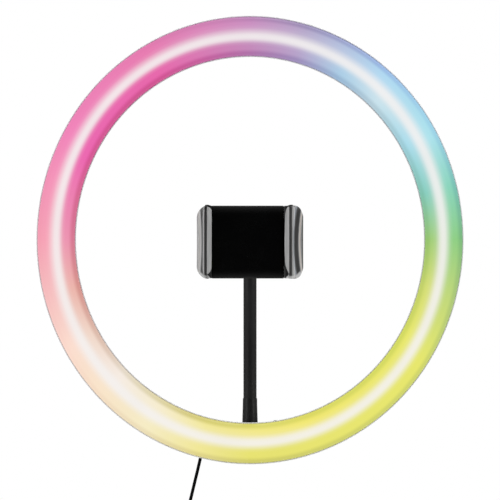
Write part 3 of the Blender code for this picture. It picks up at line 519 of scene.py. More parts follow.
# ---------------------------------------------------------------- materials
def moulded(name, base, roughness, grain, depth, spread, specular=0.5, edges=None, lighter=None):
    """Injection-moulded plastic: a fine grain and drifting gloss."""
    finish = Finish(name, roughness, specular=specular)
    colour = finish.tones(base, spread)
    if lighter:
        colour = finish.worn(colour, lighter)
    finish.put("Base Color", colour)
    finish.drifting_gloss(low=roughness - 0.06, high=roughness + 0.06)
    finish.grain(grain, depth, strength=0.6, edges=edges)
    return finish.material


BLACK = moulded(
    "black_abs", base=(0.0045, 0.0045, 0.0048), roughness=0.36, grain=1500.0, depth=0.000010,
    spread=0.15, specular=0.42, edges=0.00022, lighter=(0.02, 0.02, 0.021),
)


def panel_finish():
    """The clamp's satin front: near black, with a painted sheen towards its long edges, where the
    base colour lightens.
    """
    finish = Finish("black_abs_satin", roughness=0.26, specular=0.09)
    # painted sheen: the base colour goes from near black to dark grey towards the top and bottom
    # edges
    height = finish.calc("SUBTRACT", finish.axis("Z"), BALL.z * MM)
    edge = finish.remap(finish.calc("ABSOLUTE", height), span=(0.0145, 0.0212))
    edge = finish.calc("POWER", edge, 3.0)
    deep = finish.tones(base=(0.0004, 0.00045, 0.0005), spread=0.2)
    finish.put("Base Color", finish.mix(edge, deep, (0.022, 0.022, 0.022)))
    finish.drifting_gloss(low=0.23, high=0.29)
    finish.grain(scale=1700.0, depth=0.000004, strength=0.6)
    return finish.material


PANEL = panel_finish()


def shell_finish():
    """White shell plastic, with painted shade along its thin front rims, where the base colour is
    greyer.
    """
    finish = Finish("white_abs", roughness=0.42, specular=0.4)
    white = finish.tones(base=(0.80, 0.80, 0.805), spread=0.012)
    # painted shade: the base colour turns grey along the front rims, just in front of the split
    rim = ((SPLIT_Y + 0.6) * MM, (SPLIT_Y - 0.4) * MM)
    front = finish.remap(finish.axis("Y"), span=rim)
    finish.put("Base Color", finish.mix(front, white, (0.62, 0.62, 0.635)))
    finish.drifting_gloss(low=0.36, high=0.48)
    finish.grain(scale=320.0, depth=0.000006, strength=0.5, detail=2.0, roughness=0.5)
    return finish.material


WHITE = shell_finish()
KEYS = moulded(
    "grey_keys", base=(0.105, 0.107, 0.112), roughness=0.58, grain=1600.0, depth=0.000012,
    spread=0.10, specular=0.4, lighter=(0.16, 0.16, 0.165),
)
NYLON = moulded(
    "natural_nylon", base=(0.70, 0.69, 0.63), roughness=0.46, grain=900.0, depth=0.000008,
    spread=0.03,
)
CABLE = moulded(
    "cable_pvc", base=(0.0030, 0.0030, 0.0032), roughness=0.50, grain=1100.0, depth=0.000010,
    spread=0.18, specular=0.03,
)
GLYPH = moulded(
    "key_print", base=(0.62, 0.62, 0.62), roughness=0.55, grain=2200.0, depth=0.000004,
    spread=0.05,
)
FERRULE = moulded(
    "ferrule_rubber", base=(0.0030, 0.0030, 0.0031), roughness=0.46, grain=1400.0,
    depth=0.000010, spread=0.14, specular=0.22,
)


def sleeve_finish():
    """Rubber sleeve over a gooseneck: matte, with faint rings of the coil below."""
    finish = Finish("matte_black_rubber", roughness=0.56, specular=0.22)
    colour = finish.tones(base=(0.0048, 0.0048, 0.0050), spread=0.16, scale=130.0)
    finish.put("Base Color", colour)
    finish.drifting_gloss(low=0.50, high=0.62, scale=260.0)
    coil = finish.node(
        "ShaderNodeTexWave", wave_type="BANDS", bands_direction="Z", wave_profile="SIN"
    )
    finish.feed(coil.inputs["Vector"], finish.place)
    coil.inputs["Scale"].default_value = 95.0
    coil.inputs["Distortion"].default_value = 0.15
    grain = finish.noise(scale=1500.0, detail=3.0, roughness=0.7)
    half_grain = finish.calc("MULTIPLY", grain, 0.5)
    height = finish.calc("MULTIPLY_ADD", coil.outputs["Fac"], 0.5, half_grain)
    finish.bump(height, depth=0.00002, strength=0.55)
    return finish.material


SLEEVE = sleeve_finish()


def metal(name, base, roughness, brushed=(1, 1, 1), tarnish=None):
    """Metal with fine marks, stretched by brushed, and blots of tarnish."""
    finish = Finish(name, roughness, metallic=1.0)
    colour = finish.tones(base, spread=0.10, scale=220.0, detail=4.0)
    if tarnish:
        blots = finish.noise(scale=240.0, detail=4.0, roughness=0.6)
        blot = finish.remap(blots, span=(0.50, 0.78), to=(0.0, 0.28))
        colour = finish.mix(blot, colour, tarnish)
    finish.put("Base Color", colour)
    marks = finish.noise(scale=1500.0, detail=4.0, roughness=0.7, stretch=brushed)
    gloss = finish.remap(marks, span=(0.3, 0.7), to=(roughness - 0.08, roughness + 0.10))
    finish.put("Roughness", gloss)
    finish.bump(marks, depth=0.000003, strength=0.4)
    return finish.material


STEEL = metal(
    "zinc_steel", base=(0.56, 0.57, 0.60), roughness=0.30, brushed=(1, 1, 6),
    tarnish=(0.40, 0.41, 0.40),
)
BRASS = metal(
    "brass", base=(0.74, 0.53, 0.23), roughness=0.28, brushed=(1, 1, 5),
    tarnish=(0.45, 0.30, 0.12),
)
GOLD = metal("contact_plate", base=(0.86, 0.62, 0.28), roughness=0.20)


def board_finish(name, base, trace):
    """Solder mask over faint tracks."""
    finish = Finish(name, roughness=0.34)
    track = finish.node("ShaderNodeTexBrick")
    finish.feed(track.inputs["Vector"], finish.place)
    track.inputs["Scale"].default_value = 260.0
    track.inputs["Mortar Size"].default_value = 0.035
    share = finish.remap(track.outputs["Fac"], span=(0.0, 1.0), to=(0.0, 0.7))
    finish.put("Base Color", finish.mix(share, base, trace))
    finish.bump(track.outputs["Fac"], depth=0.00003, strength=0.4)
    return finish.material


BOARD = board_finish("circuit_board", base=(0.74, 0.75, 0.74), trace=(0.60, 0.62, 0.60))
GREEN_BOARD = board_finish("remote_board", base=(0.020, 0.13, 0.055), trace=(0.035, 0.20, 0.09))


def srgb(red, green, blue):
    """A screen colour, 0 to 255, as light."""
    shares = [c / 255.0 for c in (red, green, blue)]
    return tuple(c / 12.92 if c <= 0.04045 else ((c + 0.055) / 1.055) ** 2.4 for c in shares)


# The lit diffuser's colours round the ring: (degrees from +X towards +Z, screen colour).
WHEEL_OUTER = [
    (0, (140, 205, 130)), (14, (135, 210, 185)), (28, (170, 225, 235)), (50, (175, 215, 240)),
    (75, (180, 165, 200)), (90, (200, 140, 190)), (120, (230, 120, 175)),
    (150, (240, 130, 185)), (180, (245, 160, 180)), (195, (245, 190, 190)),
    (210, (250, 220, 205)), (240, (245, 235, 195)), (255, (240, 230, 150)),
    (270, (230, 225, 110)), (325, (230, 230, 105)), (345, (190, 215, 120)),
]
WHEEL_INNER = [
    (0, (160, 205, 120)), (14, (135, 205, 190)), (30, (170, 220, 235)), (46, (200, 225, 235)),
    (60, (170, 205, 230)), (75, (180, 160, 200)), (90, (195, 135, 185)), (120, (230, 100, 170)),
    (155, (235, 100, 175)), (180, (235, 145, 175)), (195, (235, 180, 170)),
    (210, (240, 215, 200)), (225, (245, 235, 225)), (240, (245, 235, 205)),
    (256, (240, 230, 150)), (288, (240, 230, 110)), (330, (230, 230, 105)),
    (346, (210, 220, 115)),
]
# How much of each colour is left at the rims: (degrees, RGB factor).
RIM_INNER = [
    (0, (0.80, 0.86, 0.76)), (60, (0.72, 0.74, 0.80)), (76, (0.68, 0.66, 0.80)),
    (105, (0.78, 0.48, 0.70)), (130, (0.74, 0.52, 0.62)), (165, (0.78, 0.58, 0.62)),
    (200, (0.80, 0.64, 0.64)), (225, (0.82, 0.80, 0.72)), (250, (0.68, 0.66, 0.38)),
    (272, (0.78, 0.82, 0.55)), (300, (0.80, 0.86, 0.74)),
]
RIM_OUTER = [
    (0, (0.70, 0.76, 0.86)), (35, (0.80, 0.86, 0.95)), (52, (0.60, 0.62, 0.82)),
    (75, (0.60, 0.56, 0.70)), (98, (0.86, 0.80, 0.86)), (125, (0.97, 0.96, 0.97)),
    (215, (0.97, 0.93, 0.93)), (245, (0.86, 0.82, 0.78)), (270, (0.76, 0.76, 0.78)),
    (335, (0.74, 0.80, 0.86)),
]
# The white crest: (share of the way from inner to outer rim, whiteness).
CREST_WHITE = [
    (0.00, 0.0), (0.20, 0.015), (0.28, 0.12), (0.35, 0.46), (0.40, 0.76), (0.45, 0.90),
    (0.50, 0.92), (0.55, 0.84), (0.60, 0.60), (0.65, 0.38), (0.72, 0.10), (0.80, 0.01),
    (1.00, 0.0),
]


def opal_finish():
    """Opal plastic lit from inside: colour round the ring, a near-white crest and dimmer rims."""
    finish = Finish("opal_diffuser", roughness=0.42, specular=0.06)
    calc = finish.calc
    finish.put("Base Color", (0.004, 0.004, 0.004))
    x = finish.axis("X")
    z = calc("SUBTRACT", finish.axis("Z"), RING_Z * MM)
    turn = calc("DIVIDE", calc("ARCTAN2", z, x), 2 * math.pi)
    share = calc("FRACT", calc("ADD", turn, 1.0))  # of a turn from +X
    radius = calc("SQRT", calc("ADD", calc("MULTIPLY", x, x), calc("MULTIPLY", z, z)))
    # -1 at the inner rim, 0 on the crest, 1 at the outer rim
    half_width = (RING_OUTER - RING_MIDDLE - 0.6) * MM
    across = calc("DIVIDE", calc("SUBTRACT", radius, RING_MIDDLE * MM), half_width)

    def round_ring(stops):
        return finish.ramp(share, [(degrees / 360.0, colour) for degrees, colour in stops])

    wheels = []
    for wheel in (WHEEL_INNER, WHEEL_OUTER):
        stops = [(degrees, srgb(*colour)) for degrees, colour in wheel]
        wheels.append(round_ring(stops + [(360, stops[0][1])]))
    side = finish.remap(across, span=(-0.25, 0.25), kind="SMOOTHSTEP")
    colour = finish.mix(side, *wheels)
    # the crest is narrower inside at the upper left and outside at the lower right
    squeeze = []
    for degrees in (130.0, 300.0):
        along_x, along_z = math.cos(math.radians(degrees)), math.sin(math.radians(degrees))
        dot = calc("ADD", calc("MULTIPLY", x, along_x), calc("MULTIPLY", z, along_z))
        squeeze.append(calc("MAXIMUM", calc("DIVIDE", dot, radius), 0.0))
    pinch = finish.node("ShaderNodeMix", data_type="FLOAT")
    outside = calc("GREATER_THAN", across, 0.0)
    for socket, value in ((0, outside), (2, squeeze[0]), (3, squeeze[1])):
        finish.feed(pinch.inputs[socket], value)
    most_squeeze = 0.34
    widen = calc("MULTIPLY_ADD", pinch.outputs[0], most_squeeze, 1.0)
    from_crest = calc("MULTIPLY", across, widen)
    # 24 faint swells of brightness round the ring
    swell = calc("COSINE", calc("MULTIPLY", share, 2 * math.pi * 24))
    crest = finish.ramp(finish.remap(from_crest, span=(-1.0, 1.0)), CREST_WHITE)
    white_tint = 0.06  # share of the ring's colour in the white
    white = finish.mix(white_tint, srgb(244, 241, 240), colour)
    colour = finish.mix(crest, colour, white)
    # both rims fall off, each in its own way round the ring
    for rim, span in ((RIM_INNER, (-0.62, -0.90)), (RIM_OUTER, (0.66, 0.92))):
        near = finish.remap(across, span=span, kind="SMOOTHSTEP")
        tint = finish.mix(near, (1.0, 1.0, 1.0), round_ring(rim))
        colour = finish.mix(1.0, colour, tint, "MULTIPLY")
    mottle = finish.remap(finish.noise(scale=35.0, detail=2.0), span=(0.3, 0.7), to=(0.992, 1.008))
    swell_height = 0.003
    level = calc("MULTIPLY", mottle, calc("MULTIPLY_ADD", swell, swell_height, 1.0))
    finish.put("Emission Color", colour)
    finish.put("Emission Strength", level)
    finish.grain(scale=700.0, depth=0.000010, strength=0.4, roughness=0.6)
    return finish.material


OPAL = opal_finish()
if hasattr(OPAL, "cycles"):  # there only while the Cycles add-on is loaded
    OPAL.cycles.emission_sampling = "NONE"  # less grain in the light on the shell


# ---------------------------------------------------------------- screws
def cross_screw(name, head_radius, head_height, shank_radius, length, drive):
    """A cross-recess pan-head screw along its own -Z, head face at the origin."""
    shoulder = [
        (head_radius * 0.84, -0.2 * head_radius),
        (head_radius, -0.45 * head_height),
        (head_radius, -head_height),
    ]
    dome = [(0.0, 0.0), (head_radius * 0.35, -0.015 * head_radius)]
    dome += [(head_radius * 0.66, -0.09 * head_radius)]
    dome += fillet(shoulder, 0.25 * head_radius, 3, closed=False)
    root = shank_radius * 0.78
    thread, z = [], -head_height - 0.4
    while z > -length + 0.9:
        thread += [(shank_radius, z), (root, z - 0.22), (root, z - 0.3), (shank_radius, z - 0.52)]
        z -= 0.55
    profile = dome + [(shank_radius, -head_height)] + thread
    profile += [(shank_radius * 0.25, -length), (0.0, -length)]
    obj = lathe(name, profile, (0, 0, 0), UP, STEEL, 36)
    half_width = drive * 0.16
    cutters = []
    for k in range(2):
        verts = []
        for x, y, z in (
            (drive, half_width, 0.3),
            (drive * 0.35, half_width * 0.6, -head_height * 0.85),
        ):
            verts += [(-x, -y, z), (x, -y, z), (x, y, z), (-x, y, z)]
        faces = [(0, 1, 2, 3), (7, 6, 5, 4), (0, 4, 5, 1), (1, 5, 6, 2), (2, 6, 7, 3), (3, 7, 4, 0)]
        tool = build("tool", verts, faces)
        tool.data.transform(Matrix.Rotation(math.radians(90 * k), 4, "Z"))
        cutters.append(tool)
    return carve(obj, *cutters, smooth=32)


def set_screws(name, node, body, heads, spin, spin_step, **size):
    """Copies of a screw with the heads' faces at the given places, looking backwards, each
    spun further than the last."""
    template = cross_screw("screw_template", **size)
    look = Vector(BEHIND).to_track_quat("Z", "Y").to_matrix().to_4x4()
    for k, head in enumerate(heads):
        obj = bpy.data.objects.new(f"{name}_{k + 1}", template.data.copy())
        bpy.context.scene.collection.objects.link(obj)
        turn = Matrix.Rotation(spin + spin_step * k, 4, "Z")
        obj.data.transform(Matrix.Translation(Vector(head) * MM) @ look @ turn)
        modifier = obj.modifiers.new("normals", "WEIGHTED_NORMAL")
        modifier.keep_sharp = True
        place(obj, body, "zinc_steel", f"{node}_{k + 1}")
    bpy.data.objects.remove(template, do_unlink=True)


# ---------------------------------------------------------------- light ring
RING_ORIGIN = (0.0, SPLIT_Y, RING_Z)
DEPTH = 10.0  # of the housing behind the split
BACK_RADIUS = 3.6
RING_SCREWS = [60.0 * k for k in range(6)]  # degrees
CABLE_HOLE = Vector((-27.5, SPLIT_Y + DEPTH, 11.0))
# Both tables: (distance in from the rim, height).
BACK_GROOVE = [(5.6, 0.0), (5.8, 0.45), (6.5, 0.45), (6.7, 0.0)]  # above the back face
FRONT_RIM = [
    (0.0, 0.95), (0.1, 1.14), (0.25, 1.2), (0.5, 1.2), (0.66, 1.14), (0.7, 1.0), (0.7, 0.0),
    (2.0, 0.0), (2.0, -DEPTH + 3.8), (3.5, -DEPTH + 1.8),
]


def on_ring(degrees, radius, height):
    """A point on the ring, height in front of the split."""
    a = math.radians(degrees)
    return (radius * math.cos(a), SPLIT_Y - height, RING_Z + radius * math.sin(a))


def ring_rod(degrees, low, high, *radii, **options):
    """A rod parallel to Y on the ring's middle circle."""
    start, stop = on_ring(degrees, RING_MIDDLE, low), on_ring(degrees, RING_MIDDLE, high)
    return rod(start, stop, *radii, **options)


def ring_housing():
    turn_z = -DEPTH + BACK_RADIUS
    outer, inner = RING_OUTER - BACK_RADIUS, RING_INNER + BACK_RADIUS
    profile = arc(outer, turn_z, BACK_RADIUS, BACK_RADIUS, 0, -90, 10)
    profile += [(RING_OUTER - d, -DEPTH + h) for d, h in BACK_GROOVE]
    profile += [(RING_INNER + d, -DEPTH + h) for d, h in BACK_GROOVE[::-1]]
    profile += arc(inner, turn_z, BACK_RADIUS, BACK_RADIUS, -90, -180, 10)
    profile += [(RING_INNER + d, h) for d, h in FRONT_RIM]
    profile += [(RING_OUTER - d, h) for d, h in FRONT_RIM[::-1]]
    housing = lathe("ring_rear_housing", profile, RING_ORIGIN, FRONT, WHITE, 288)
    fuse(housing, *[ring_rod(a, -9.0, -4.6, 4.2) for a in RING_SCREWS])
    tools = []
    for a in RING_SCREWS:
        tools.append(ring_rod(a, -11.0, -8.0, 2.95))
        tools.append(ring_rod(a, -10.3, -9.55, 3.6, 2.9))
        tools.append(ring_rod(a, -8.6, -4.0, 1.6, sides=20))
    tools.append(rod(CABLE_HOLE + Vector((0, 1, 0)), CABLE_HOLE - Vector((0, 3, 0)), 3.0))
    carve(housing, *tools)
    place(housing, "head", "white_abs", "rear_housing")


def ring_diffuser():
    half = 0.5 * (RING_OUTER - RING_INNER) - 0.8
    crest = arc(RING_MIDDLE, 0.3, half, 12.0, 0, 180, 56)
    hollow = arc(RING_MIDDLE, 1.0, half - 2.7, 9.5, 0, 180, 12)
    profile = crest[28::-1]
    profile += [(RING_OUTER - 2.3, 0.3), (RING_OUTER - 2.3, -2.5), (RING_OUTER - 3.5, -2.5)]
    profile += hollow
    profile += [(RING_INNER + 3.5, -2.5), (RING_INNER + 2.3, -2.5), (RING_INNER + 2.3, 0.3)]
    profile += crest[:28:-1]
    opal = lathe("ring_diffuser", profile, RING_ORIGIN, FRONT, OPAL, 360, smooth=50)
    place(opal, "head", "opal_diffuser", "diffuser")


ring_housing()
ring_diffuser()
set_screws(
    "ring_screw", "housing_screw", "head",
    [on_ring(a, RING_MIDDLE, -DEPTH + 0.2) for a in RING_SCREWS],
    spin=0.35, spin_step=0.9,
    head_radius=2.5, head_height=1.5, shank_radius=1.25, length=12.8, drive=1.5,
)


def cable_relief():
    """A flange in the cable hole and a tail of rings that thin out."""
    ribs = []
    for k in range(6):
        h = 2.2 + 1.12 * k
        r = 2.85 - 0.13 * k
        ribs += [(r - 0.42, h), (r - 0.05, h + 0.12), (r, h + 0.3)]
        ribs += [(r, h + 0.5), (r - 0.05, h + 0.68), (r - 0.42, h + 0.8)]
    flange = [
        (3.0, 1.8), (3.9, 1.7), (4.15, 1.45), (4.2, 1.1), (4.2, 0.3), (2.7, 0.3), (2.7, -2.1),
        (3.9, -2.1), (3.9, -3.1), (1.0, -3.1), (1.02, 9.0),
    ]
    profile = [(1.6, 9.0)] + ribs[::-1] + flange
    relief = lathe("cable_relief", profile, CABLE_HOLE, BEHIND, CABLE, 48)
    place(relief, "head", "cable_pvc", "cable_grommet")


cable_relief()

# ---------------------------------------------------------------- bracket, tilt joint and foot
TILT_ORIGIN = (0, TILT_Y, TILT_Z)
LUG_RADIUS = 5.5
BORE = 2.8  # radius of the bolt's holes
BRACKET_SCREW_X = (-13.5, 13.5)
BRACKET_SCREW_Z = 10.5


def ring_bracket():
    """A lug round the tilt bolt, slotted for the foot's tongue, on a screwed flange."""
    heel = [(-19.7, 3.7), (-19.7, -11.5), (-13.0, -11.5), (-9.3, -3.2)]
    heel = [(TILT_Y + y, TILT_Z + z) for y, z in heel]
    side = fillet(heel, [0.6, 1.0, 1.6, 1.2], 4, closed=False)
    side += arc(TILT_Y, TILT_Z, LUG_RADIUS, LUG_RADIUS, -150, 97, 28)
    side += [(TILT_Y - 9.0, TILT_Z + 3.7)]
    # drop the points low on the lug's front
    low = TILT_Z - 5.45
    side = [(y, z) for y, z in side if not (TILT_Y - 9.0 < y < TILT_Y - 2.5 and z < low)]
    bracket = slab("ring_bracket", side, "X", -9.5, 9.5, 0.5, BLACK)
    flange = rounded(-17.3, 17.3, 3.2, 18.0, 3.2)
    fuse(bracket, slab("flange", flange, "Y", TILT_Y - 19.7, TILT_Y - 15.0, 0.15, high_edge=0.9))
    ribs = []
    for x in (-9.9, 9.9):
        low_end, high_end = (x - 0.8, TILT_Y - 16.0, 5.6), (x + 0.8, TILT_Y - 13.4, 15.6)
        ribs.append(brick(low_end, high_end, 0.3))
    fuse(bracket, *ribs)
    tools = [
        slab("slot", rounded(TILT_Y - 7.0, TILT_Y + 9.0, 4.0, 24.0, 1.2), "X", -4.4, 4.4),
        rod((-12, TILT_Y, TILT_Z), (12, TILT_Y, TILT_Z), BORE),
        rod((-7.9, TILT_Y, TILT_Z), (-12, TILT_Y, TILT_Z), 4.95, sides=6),
        rod((0, NECK_Y, 10.4), (0, NECK_Y, 20.0), 3.7),
    ]
    for x in BRACKET_SCREW_X:
        start, stop = (x, TILT_Y - 21.0, BRACKET_SCREW_Z), (x, TILT_Y - 14.0, BRACKET_SCREW_Z)
        tools.append(rod(start, stop, 1.6, sides=20))
    carve(bracket, *tools)
    place(bracket, "head", "black_abs", "rear_bracket")


ring_bracket()
set_screws(
    "bracket_cross_screw", "bracket_screw", "head",
    [(x, TILT_Y - 12.9, BRACKET_SCREW_Z) for x in BRACKET_SCREW_X],
    spin=0.5, spin_step=1.1,
    head_radius=2.7, head_height=1.8, shank_radius=1.3, length=11.6, drive=1.6,
)


def hexagon(apothem):
    """Flattens a turned shape to six sides."""

    def ripple(angle, radius):
        off = angle % (math.pi / 3) - math.pi / 6
        return min(radius, apothem / math.cos(off))

    return ripple


def tilt_bolt():
    head = [
        (0.0, 3.2), (3.2, 3.2), (4.05, 3.05), (4.6, 2.6), (4.6, 0.35), (4.3, 0.05), (4.0, 0.0),
        (0.0, 0.0),
    ]
    bolt = lathe(
        "tilt_hex_bolt", head, (-8.2, TILT_Y, TILT_Z), (-1, 0, 0), STEEL, 96,
        ripple=hexagon(3.98), smooth=25,
    )
    threads, x = [], 9.0
    while x < 20.0:
        threads += [(2.5, x), (2.2, x + 0.35), (2.2, x + 0.42), (2.5, x + 0.77)]
        x += 0.8
    shank = [(0.0, -9.0), (2.5, -9.0)] + threads + [(2.1, 21.0), (0.0, 21.0)]
    fuse(bolt, lathe("shank", shank, TILT_ORIGIN, RIGHT, steps=32))
    place(bolt, "head", "zinc_steel", "tilt_bolt")


tilt_bolt()
KNOB_RADIUS, KNOB_HUB = 8.2, 5.6


def finger_hollows(angle, radius):
    """Six hollows round the grip, fading out at the hub."""
    if radius < KNOB_HUB:
        return radius
    wave = (0.5 + 0.5 * math.cos(6 * angle)) ** 2
    return radius - 1.15 * wave * (radius - KNOB_HUB) / (KNOB_RADIUS - KNOB_HUB)


KNOB_PROFILE = [
    (0.0, 24.3), (3.6, 24.3), (3.9, 24.45), (4.2, 24.8), (4.6, 25.0), (6.6, 25.0), (7.4, 24.85),
    (7.95, 24.4), (KNOB_RADIUS, 23.7), (KNOB_RADIUS, 15.2), (8.05, 14.5), (7.6, 14.05),
    (7.1, 14.0), (6.6, 13.9), (6.35, 13.0), (6.2, 11.3), (6.0, 11.1), (4.9, 11.1), (4.9, 14.9),
    (2.8, 14.9), (2.8, 21.6), (0.0, 21.6),
]
knob = lathe("tilt_grip", KNOB_PROFILE, TILT_ORIGIN, RIGHT, BLACK, 120, ripple=finger_hollows)
place(knob, "tilt_knob", "black_abs", "tilt_knob")

# Foot: a block with a tongue up into the bracket and a hole for the insert below.
base = rounded(-10.5, 10.5, TILT_Y - 7.0, TILT_Y + 12.0, 2.0)
foot = slab("tripod_foot", base, "Z", 0.0, 8.4, 0.45, BLACK, high_edge=0.9)
tongue = arc(TILT_Y, TILT_Z, LUG_RADIUS, LUG_RADIUS, 0, 180, 28)
tongue += [(TILT_Y - LUG_RADIUS, 7.6), (TILT_Y + LUG_RADIUS, 7.6)]
fuse(foot, slab("tongue", tongue, "X", -3.0, 3.0, 0.35))
carve(
    foot,
    rod((-5, TILT_Y, TILT_Z), (5, TILT_Y, TILT_Z), BORE),
    rod((0, TILT_Y, -1.0), (0, TILT_Y, 7.0), 4.3, sides=48),
    rod((0, TILT_Y, -0.4), (0, TILT_Y, 0.45), 5.15, 4.3, sides=48),
)
place(foot, "root", "black_abs", "foot")


def tripod_insert():
    """A knurled brass bush, threaded inside."""
    thread, z = [], 6.3
    while z > 1.3:
        thread += [(2.7, z), (3.05, z - 0.45), (3.1, z - 0.62), (2.7, z - 1.05)]
        z -= 1.27
    outside = [
        (3.8, 6.7), (4.0, 6.4), (4.0, 4.2), (3.7, 3.8), (4.0, 3.4), (4.0, 0.8), (3.8, 0.4),
        (3.05, 0.4), (2.75, 0.75),
    ]

    def knurl(angle, radius):
        return radius - 0.12 * (0.5 + 0.5 * math.cos(32 * angle)) if radius > 3.9 else radius

    profile = outside + thread[::-1] + [(2.7, 6.7)]
    insert = lathe("tripod_bush", profile, (0, TILT_Y, 0), UP, BRASS, 96, ripple=knurl)
    place(insert, "root", "brass", "tripod_insert")


tripod_insert()

# ---------------------------------------------------------------- gooseneck
collar_top = box("neck_base")[1].z
FERRULE_PROFILE = [
    (0.0, collar_top - 1.2), (4.02, collar_top - 1.2), (4.04, collar_top - 0.2),
    (4.2, collar_top), (4.3, collar_top - 0.08), (4.36, collar_top - 0.35),
    (4.38, collar_top - 3.2), (4.72, 20.6), (4.75, 20.2), (4.75, 18.8), (4.6, 18.5), (2.1, 18.5),
    (2.1, 12.4), (1.7, 12.0), (0.0, 12.0),
]
ferrule = lathe("neck_ferrule", FERRULE_PROFILE, (0, NECK_Y, 0), UP, FERRULE, 64)
place(ferrule, "head", "matte_black_rubber", "neck_base")

TOP_BEND = 17.0  # radius of the quarter turn into the ball joint
NECK_SAMPLES = 600


def neck_line():
    """The neck's middle line: an S up from the first hinge, then a quarter turn forward.
    Also the length along it up to each point."""
    top_y = BALL.y + 18.8 + TOP_BEND
    bend_z = BALL.z - TOP_BEND
    start_z = pivot("neck_bend_1").z
    points = []
    for k in range(NECK_SAMPLES + 1):
        t = k / NECK_SAMPLES
        y = NECK_Y + (top_y - NECK_Y) * (3 * t * t - 2 * t**3)
        points.append(Vector((0.0, y, start_z + (bend_z - start_z) * t)))
    for k in range(1, NECK_SAMPLES + 1):
        a = math.radians(90.0 * k / NECK_SAMPLES)
        y = top_y - TOP_BEND * (1 - math.cos(a))
        points.append(Vector((0.0, y, bend_z + TOP_BEND * math.sin(a))))
    lengths = [0.0]
    for a, b in zip(points, points[1:]):
        lengths.append(lengths[-1] + (b - a).length)
    return points, lengths


NECK_POINTS, NECK_LENGTHS = neck_line()
NECK_LENGTH = NECK_LENGTHS[-1]


def on_neck(distance):
    """The point at a distance along the neck, which runs on straight past both ends."""
    if distance < 0:
        return NECK_POINTS[0] + Vector((0, 0, distance))
    if distance > NECK_LENGTH:
        return NECK_POINTS[-1] + Vector((0, NECK_LENGTH - distance, 0))
    k = int(np.searchsorted(NECK_LENGTHS, distance))
    k = min(max(k, 1), len(NECK_LENGTHS) - 1)
    share = (distance - NECK_LENGTHS[k - 1]) / (NECK_LENGTHS[k] - NECK_LENGTHS[k - 1])
    return NECK_POINTS[k - 1].lerp(NECK_POINTS[k], share)


def sleeve_piece(name, start, stop):
    count = max(12, int((stop - start) / 0.42))
    stations = [start + (stop - start) * k / count for k in range(count + 1)]
    # the coil under the sleeve shows as rings a few hundredths of a millimetre high
    radii = [4.0 + 0.022 * math.cos(2 * math.pi * s / 2.1) for s in stations]
    return sweep(name, [on_neck(s) for s in stations], radii, SLEEVE, 44)


LINK = NECK_LENGTH / 6
for k in range(6):
    start = -4.0 if k == 0 else LINK * (k - 0.5)
    stop = LINK * (k + 0.5)
    piece = sleeve_piece(f"neck_sleeve_{k + 1}", start, stop + 0.05)
    blend_start = on_neck(-0.7 if k == 0 else start) * MM
    on_neck(stop) * MM
    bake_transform(piece)
    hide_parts(f"neck_link_{k + 1}")
piece = sleeve_piece("neck_sleeve_top", LINK * 5.5, NECK_LENGTH + 2.0)
place(piece, "neck_6", "matte_black_rubber")

NECK_CAP_PROFILE = [
    (0.0, 18.0), (4.05, 18.0), (4.4, 17.95), (4.65, 17.7), (4.75, 17.3), (4.75, 15.2),
    (4.6, 15.05), (4.6, 14.75), (4.75, 14.6), (4.75, 11.3), (4.6, 10.75), (4.25, 10.4),
    (2.5, 10.4), (2.5, 16.4), (0.0, 16.4),
]
neck_cap = lathe("neck_cap", NECK_CAP_PROFILE, BALL, BEHIND, BLACK, 64)
place(neck_cap, "neck_6", "black_abs", "neck_end")

# ---------------------------------------------------------------- ball joint
BALL_RADIUS, STEM_RADIUS = 6.5, 2.2
reach = math.sqrt(BALL_RADIUS**2 - STEM_RADIUS**2)  # where the stem leaves the ball
profile = [(0.0, 15.6), (1.8, 15.6), (STEM_RADIUS, 15.2), (STEM_RADIUS, reach + 0.5)]
profile += [(2.35, reach + 0.1)] + arc(0, 0, BALL_RADIUS, BALL_RADIUS, 66, -90, 40)[:-1]
stud = lathe("ball_and_stem", profile + [(0.0, -BALL_RADIUS)], BALL, BEHIND, STEEL, 72)
place(stud, "ball", "zinc_steel", "ball_stud")

profile = [(8.45, 3.8), (8.6, 3.6), (8.6, -5.7), (8.45, -5.9)] + arc(0, 0, 6.8, 6.8, -60, 34, 24)
cup = lathe("ball_cup", profile, BALL, BEHIND, NYLON, 72)
place(cup, "liner", "natural_nylon", "ball_liner")


def collar_grip(angle, radius):
    """Ten notches round the collar, with fine ridges between."""
    if radius < 12.0:
        return radius
    off = (angle * 10 / (2 * math.pi)) % 1.0 - 0.5
    notch = max(0.0, 1.0 - (off / 0.17) ** 2)
    fine = 0.06 * (0.5 + 0.5 * math.cos(angle * 60)) if abs(off) > 0.2 else 0.0
    return radius - 0.75 * notch**0.7 - fine


COLLAR_PROFILE = [
    (7.35, 5.6), (11.9, 5.6), (12.6, 5.45), (13.0, 5.1), (13.2, 4.6), (13.2, -4.6),
    (13.1, -5.1), (12.8, -5.45), (12.4, -5.6), (11.3, -5.6), (11.3, 4.1), (7.2, 4.1),
    (7.2, 5.45),
]
collar = lathe("ball_lock_collar", COLLAR_PROFILE, BALL, BEHIND, BLACK, 240, ripple=collar_grip)
place(collar, "collar", "black_abs", "lock_collar")

# ---------------------------------------------------------------- phone clamp
CLAMP_HALF = 21.1  # half the front panel's height
PANEL_RIGHT = 20.82
COVER_SCREWS = [(x, z) for x in (-18.6, 15.8) for z in (-16.6, 16.6)]
SPRING_Z = (-8.0, 8.0)
BODY_PEG_X, SLIDER_PEG_X = -20.2, -12.6


def clamp_y(y):
    return BALL.y + y


def clamp_z(z):
    return BALL.z + z


def clamp_point(x, y, z):
    """A point whose y and z are measured from the ball."""
    return (x, clamp_y(y), clamp_z(z))


def clamp_rod(x, z, low, high, radius, **options):
    """A rod parallel to Y, from low to high."""
    return rod(clamp_point(x, low, z), clamp_point(x, high, z), radius, **options)


